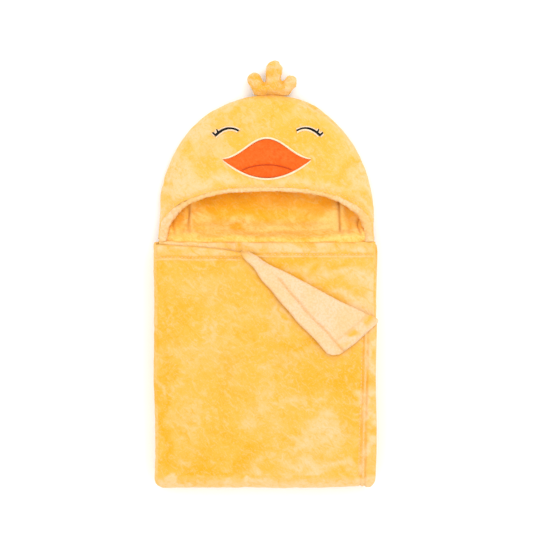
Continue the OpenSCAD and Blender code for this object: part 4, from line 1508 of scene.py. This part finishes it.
def join(name, parts):
    """One piece out of several meshes of one material."""
    joined = bmesh.new()
    for part in parts:
        joined.from_mesh(part.data)
    mesh = bpy.data.meshes.new(name)
    joined.to_mesh(mesh)
    joined.free()
    mesh.materials.append(parts[0].data.materials[0])
    for part in parts:
        old = part.data
        bpy.data.objects.remove(part)
        bpy.data.meshes.remove(old)
    obj = bpy.data.objects.new(name, mesh)
    bpy.context.scene.collection.objects.link(obj)
    return obj


# ---------------------------------------------------------------- the tuft

TUFT_LOBES = [(-12, 5, -20.0, 18.4, 8.6), (1, 8, 2.7, 30.8, 9.8), (13.5, 5, 21.4, 15.8, 7.9)]
TUFT_ROOT_W = 43
tuft_wave = Waves(51, 9)
tuft_fine = Waves(52, 3.4)


def tuft_start_shape():
    """Overlapping balls along each lobe and towards the root, melted together by a voxel remesh."""
    shape = bmesh.new()
    for bx, by, tx, ty, r in TUFT_LOBES:
        for i in range(9):
            s = i / 8
            centre = Vector((mix(bx, tx, s), mix(by, ty, s), 0))
            ball = bmesh.ops.create_uvsphere(shape, u_segments=20, v_segments=14, radius=r * mix(0.9, 1, s))
            for v in ball["verts"]:
                v.co = Vector((v.co.x, v.co.y, v.co.z * 0.68)) + centre
    for i in range(11):
        x = mix(-TUFT_ROOT_W / 2 + 5, TUFT_ROOT_W / 2 - 5, i / 10)
        ball = bmesh.ops.create_uvsphere(shape, u_segments=18, v_segments=12, radius=5.4)
        for v in ball["verts"]:
            v.co = Vector((v.co.x, v.co.y * 0.8, v.co.z * 0.62)) + Vector((x, 4.6, 0))
    mesh = bpy.data.meshes.new("tuft_start")
    shape.to_mesh(mesh)
    shape.free()
    return mesh


def applied(obj):
    """Turns an object's modifiers into its mesh."""
    bpy.context.view_layer.update()
    mesh = bpy.data.meshes.new_from_object(obj.evaluated_get(bpy.context.evaluated_depsgraph_get()))
    old = obj.data
    obj.modifiers.clear()
    obj.data = mesh
    bpy.data.meshes.remove(old)
    return obj


def vectors_of(mesh, kind="co"):
    """The place, or the normal, of each of a mesh's points."""
    values = np.zeros(len(mesh.vertices) * 3)
    mesh.vertices.foreach_get(kind, values)
    return values.reshape(-1, 3)


def inflate(obj, cap, frames=24, pressure=5.0):
    """Blows a closed shape up by a cloth simulation. No point of it moves further than cap."""
    before = vectors_of(obj.data)
    root = obj.vertex_groups.new(name="root")
    low = before[:, 1].min()
    for i, p in enumerate(before):
        root.add([i], float(1 - smooth((p[1] - low - 1.0) / 4.0)), "REPLACE")
    modifier = obj.modifiers.new("cloth", "CLOTH")
    settings = modifier.settings
    settings.quality = 6
    settings.mass = 0.25
    settings.tension_stiffness = 22
    settings.compression_stiffness = 22
    settings.shear_stiffness = 8
    settings.bending_stiffness = 0.6
    settings.vertex_group_mass = "root"
    settings.use_pressure = True
    settings.uniform_pressure_force = pressure
    settings.effector_weights.gravity = 0
    modifier.point_cache.frame_start = 1
    modifier.point_cache.frame_end = frames
    scene = bpy.context.scene
    for f in range(1, frames + 1):
        scene.frame_set(f)
    applied(obj)
    after = vectors_of(obj.data)
    scene.frame_set(1)
    moved = after - before
    far = np.linalg.norm(moved, axis=1, keepdims=True)
    after = before + moved * np.minimum(1, cap / np.maximum(far, 1e-9))
    obj.data.vertices.foreach_set("co", after.ravel())
    obj.data.update()


def tuft():
    """The stuffed tuft: an inflated lobed shape, cut along its seam into two plies over their filling."""
    work = bpy.data.objects.new("tuft_work", tuft_start_shape())
    bpy.context.scene.collection.objects.link(work)
    remesh = work.modifiers.new("melt", "REMESH")
    remesh.mode = "VOXEL"
    remesh.voxel_size = 1.25
    even = work.modifiers.new("even", "SMOOTH")
    even.iterations = 5
    applied(work)
    scale = 0.1  # the simulation takes the shape's centimetres as its metres
    work.data.transform(Matrix.Scale(scale, 4))
    inflate(work, cap=5.0 * scale)
    work.data.transform(Matrix.Scale(1 / scale, 4))
    finer = work.modifiers.new("finer", "SUBSURF")
    finer.levels = finer.render_levels = 1
    applied(work)
    p, normal = vectors_of(work.data), vectors_of(work.data, "normal")
    faces = [tuple(f.vertices) for f in work.data.polygons]

    # Wrinkles, a seam along the outline, and the root drawn flat into the crown's seam.
    p = p + normal * (0.28 * tuft_wave(p[:, 0], p[:, 1], p[:, 2]) + 0.12 * tuft_fine(*p.T))[:, None]
    seam = bump(p[:, 2], 0, 0.9) * smooth((p[:, 1] - 4) / 4)
    p = p - normal * (0.8 * seam)[:, None]
    valleys = sum(bump(p[:, 0], x, 2.0) * bump(p[:, 1], y, 6) for x, y in ((-9.6, 17), (12.0, 15)))
    p[:, 2] *= 1 - 0.38 * valleys
    root = 1 - smooth((p[:, 1] - 0.5) / 7)
    p[:, 2] *= 1 - 0.55 * root
    p[:, 2] = p[:, 2] * 1.12
    p[:, 1] = np.where(p[:, 1] < 1, 1 - (1 - p[:, 1]) * 0.35, p[:, 1])
    place = np.array([TUFT_X + 0.6, CROWN_SEAM_Y - 0.3, TUFT_Z - 0.6])
    p = p + place + np.array([0, 0, 1.2]) * smooth((p[:, 1:2]) / 12)
    p[:, 2] = np.maximum(p[:, 2], 0.6)
    bpy.data.objects.remove(work)

    up, side_x = p[:, 1] - CROWN_SEAM_Y, p[:, 0] - TUFT_X
    amber = 0.8 * bump(side_x, 3, 7) * bump(up, 25, 5) + 0.8 * bump(side_x, -6, 14) * bump(up, 10, 5)
    pale = 0.45 + 0.9 * tuft_wave(p[:, 0] * 0.8, p[:, 1] * 0.8, 30)
    pale = pale + 0.5 * smooth((np.abs(side_x - 2) - 12) / 8)
    pale = np.clip(pale + 0.5 * bump(up, 2.5, 1.6), 0, 0.85)
    # Darker at the root and in the valleys between the lobes: painted shade.
    deep = np.clip(amber + 0.5 * smooth((6 - up) / 4) + 0.8 * valleys, 0, 0.9)

    def sew_at_crown(piece, slot, node):
        sew(piece, ("hood", "tuft"), CROWN_SEAM_Y, (-0.5, 6), slot, node)

    ply_t, filling_in = 1.3, 1.7
    values = {"pale": pale * (1 - deep), "deep": deep}
    for name, side, node in (("tuft_front_ply", 1, "tuft_front"), ("tuft_back_ply", -1, "tuft_back")):
        shell = shell_half(p, p - ply_t * normal, faces, side, TUFT_Z, values)
        piece = make_object(name, shell[0], shell[1], tuft_plush, shell[2])
        sew_at_crown(piece, "plush_face", node)
    fibre = make_object("tuft_fibre", p - filling_in * normal, faces, filling_fluff)
    sew_at_crown(fibre, "filling", "tuft_filling")


def shell_half(outer, inner, faces, side, level, values):
    """The part of a closed skin above or below a level, as a closed shell between it and an inner skin."""
    middle = np.array([outer[list(f), 2].mean() for f in faces])
    chosen = [f for f, z in zip(faces, middle) if (z - level) * side > 0]
    used = sorted({v for f in chosen for v in f})
    new = {v: i for i, v in enumerate(used)}
    n = len(used)
    top = [tuple(new[v] for v in f) for f in chosen]
    bottom = [tuple(n + new[v] for v in f)[::-1] for f in chosen]
    edges = dict.fromkeys((a, b) for f in top for a, b in zip(f, f[1:] + f[:1]))
    walls = [(b, a, a + n, b + n) for a, b in edges if (b, a) not in edges]
    points = np.concatenate([outer[used], inner[used]])
    return points, top + bottom + walls, {k: np.concatenate([v[used], v[used]]) for k, v in values.items()}


# ---------------------------------------------------------------- making it all


def main():
    """Makes every piece, the lower ones first, because the others are laid on them."""
    sheet = body_sheet()
    hem_stitching(sheet)
    neck_tape()
    corner_sheet(sheet)
    front = hood_front_sheet()
    hood_front_lining()
    hood_back_plies()
    hood_rim()
    face_skin = Skin(front)
    rim_stitching(face_skin)
    beak(face_skin)
    eye(-1, "left_eye", face_skin)
    eye(1, "right_eye", face_skin)
    tuft()
    for slot in frame["nodes"]["care_label"].material_slots:
        slot.material = label_weave


main()


# ---------------------------------------------------------------- floor, light and camera


def studio():
    """White ground and air, two soft lights, and a camera straight above."""
    world = bpy.data.worlds.new("studio_air")
    bpy.context.scene.world = world
    world.use_nodes = True
    background = world.node_tree.nodes["Background"]
    background.inputs["Color"].default_value = (1.0, 1.0, 1.0, 1.0)
    background.inputs["Strength"].default_value = 1.26

    paper = Nodes("paper")
    grain = paper.noise(paper.place(), 6.0, 2.0)
    paper.finish(paper.blend(grain, (0.95, 0.95, 0.95, 1), (0.98, 0.98, 0.98, 1)), 0.9)
    floor_w = 6.0
    corners = np.array([[-1, -1, 0], [1, -1, 0], [1, 1, 0], [-1, 1, 0]]) * floor_w / 2 / MM
    floor = make_object("floor", corners, [(0, 1, 2, 3)], paper.material, smooth_shading=False)

    def softbox(name, place, size, power):
        light = bpy.data.lights.new(name, "AREA")
        light.shape = "DISK"
        light.size = size
        light.energy = power
        lamp = bpy.data.objects.new(name, light)
        lamp.location = place
        lamp.rotation_euler = (-Vector(place)).to_track_quat("-Z", "Y").to_euler()
        bpy.context.scene.collection.objects.link(lamp)

    softbox("key", (0.75, 1.0, 1.5), 0.8, 6.0)
    softbox("fill", (-1.1, -0.6, 1.6), 1.4, 2.0)

    camera = bpy.data.cameras.new("camera")
    camera.lens = 100
    camera.sensor_width = 36
    view_w = 604.422 * MM
    distance = view_w / 2 / (camera.sensor_width / 2 / camera.lens)
    eye_point = bpy.data.objects.new("camera", camera)
    eye_point.location = (0.0006, 0.0074, 0.02 + distance)
    bpy.context.scene.collection.objects.link(eye_point)
    bpy.context.scene.camera = eye_point
    bpy.context.scene.view_settings.view_transform = "Standard"


studio()
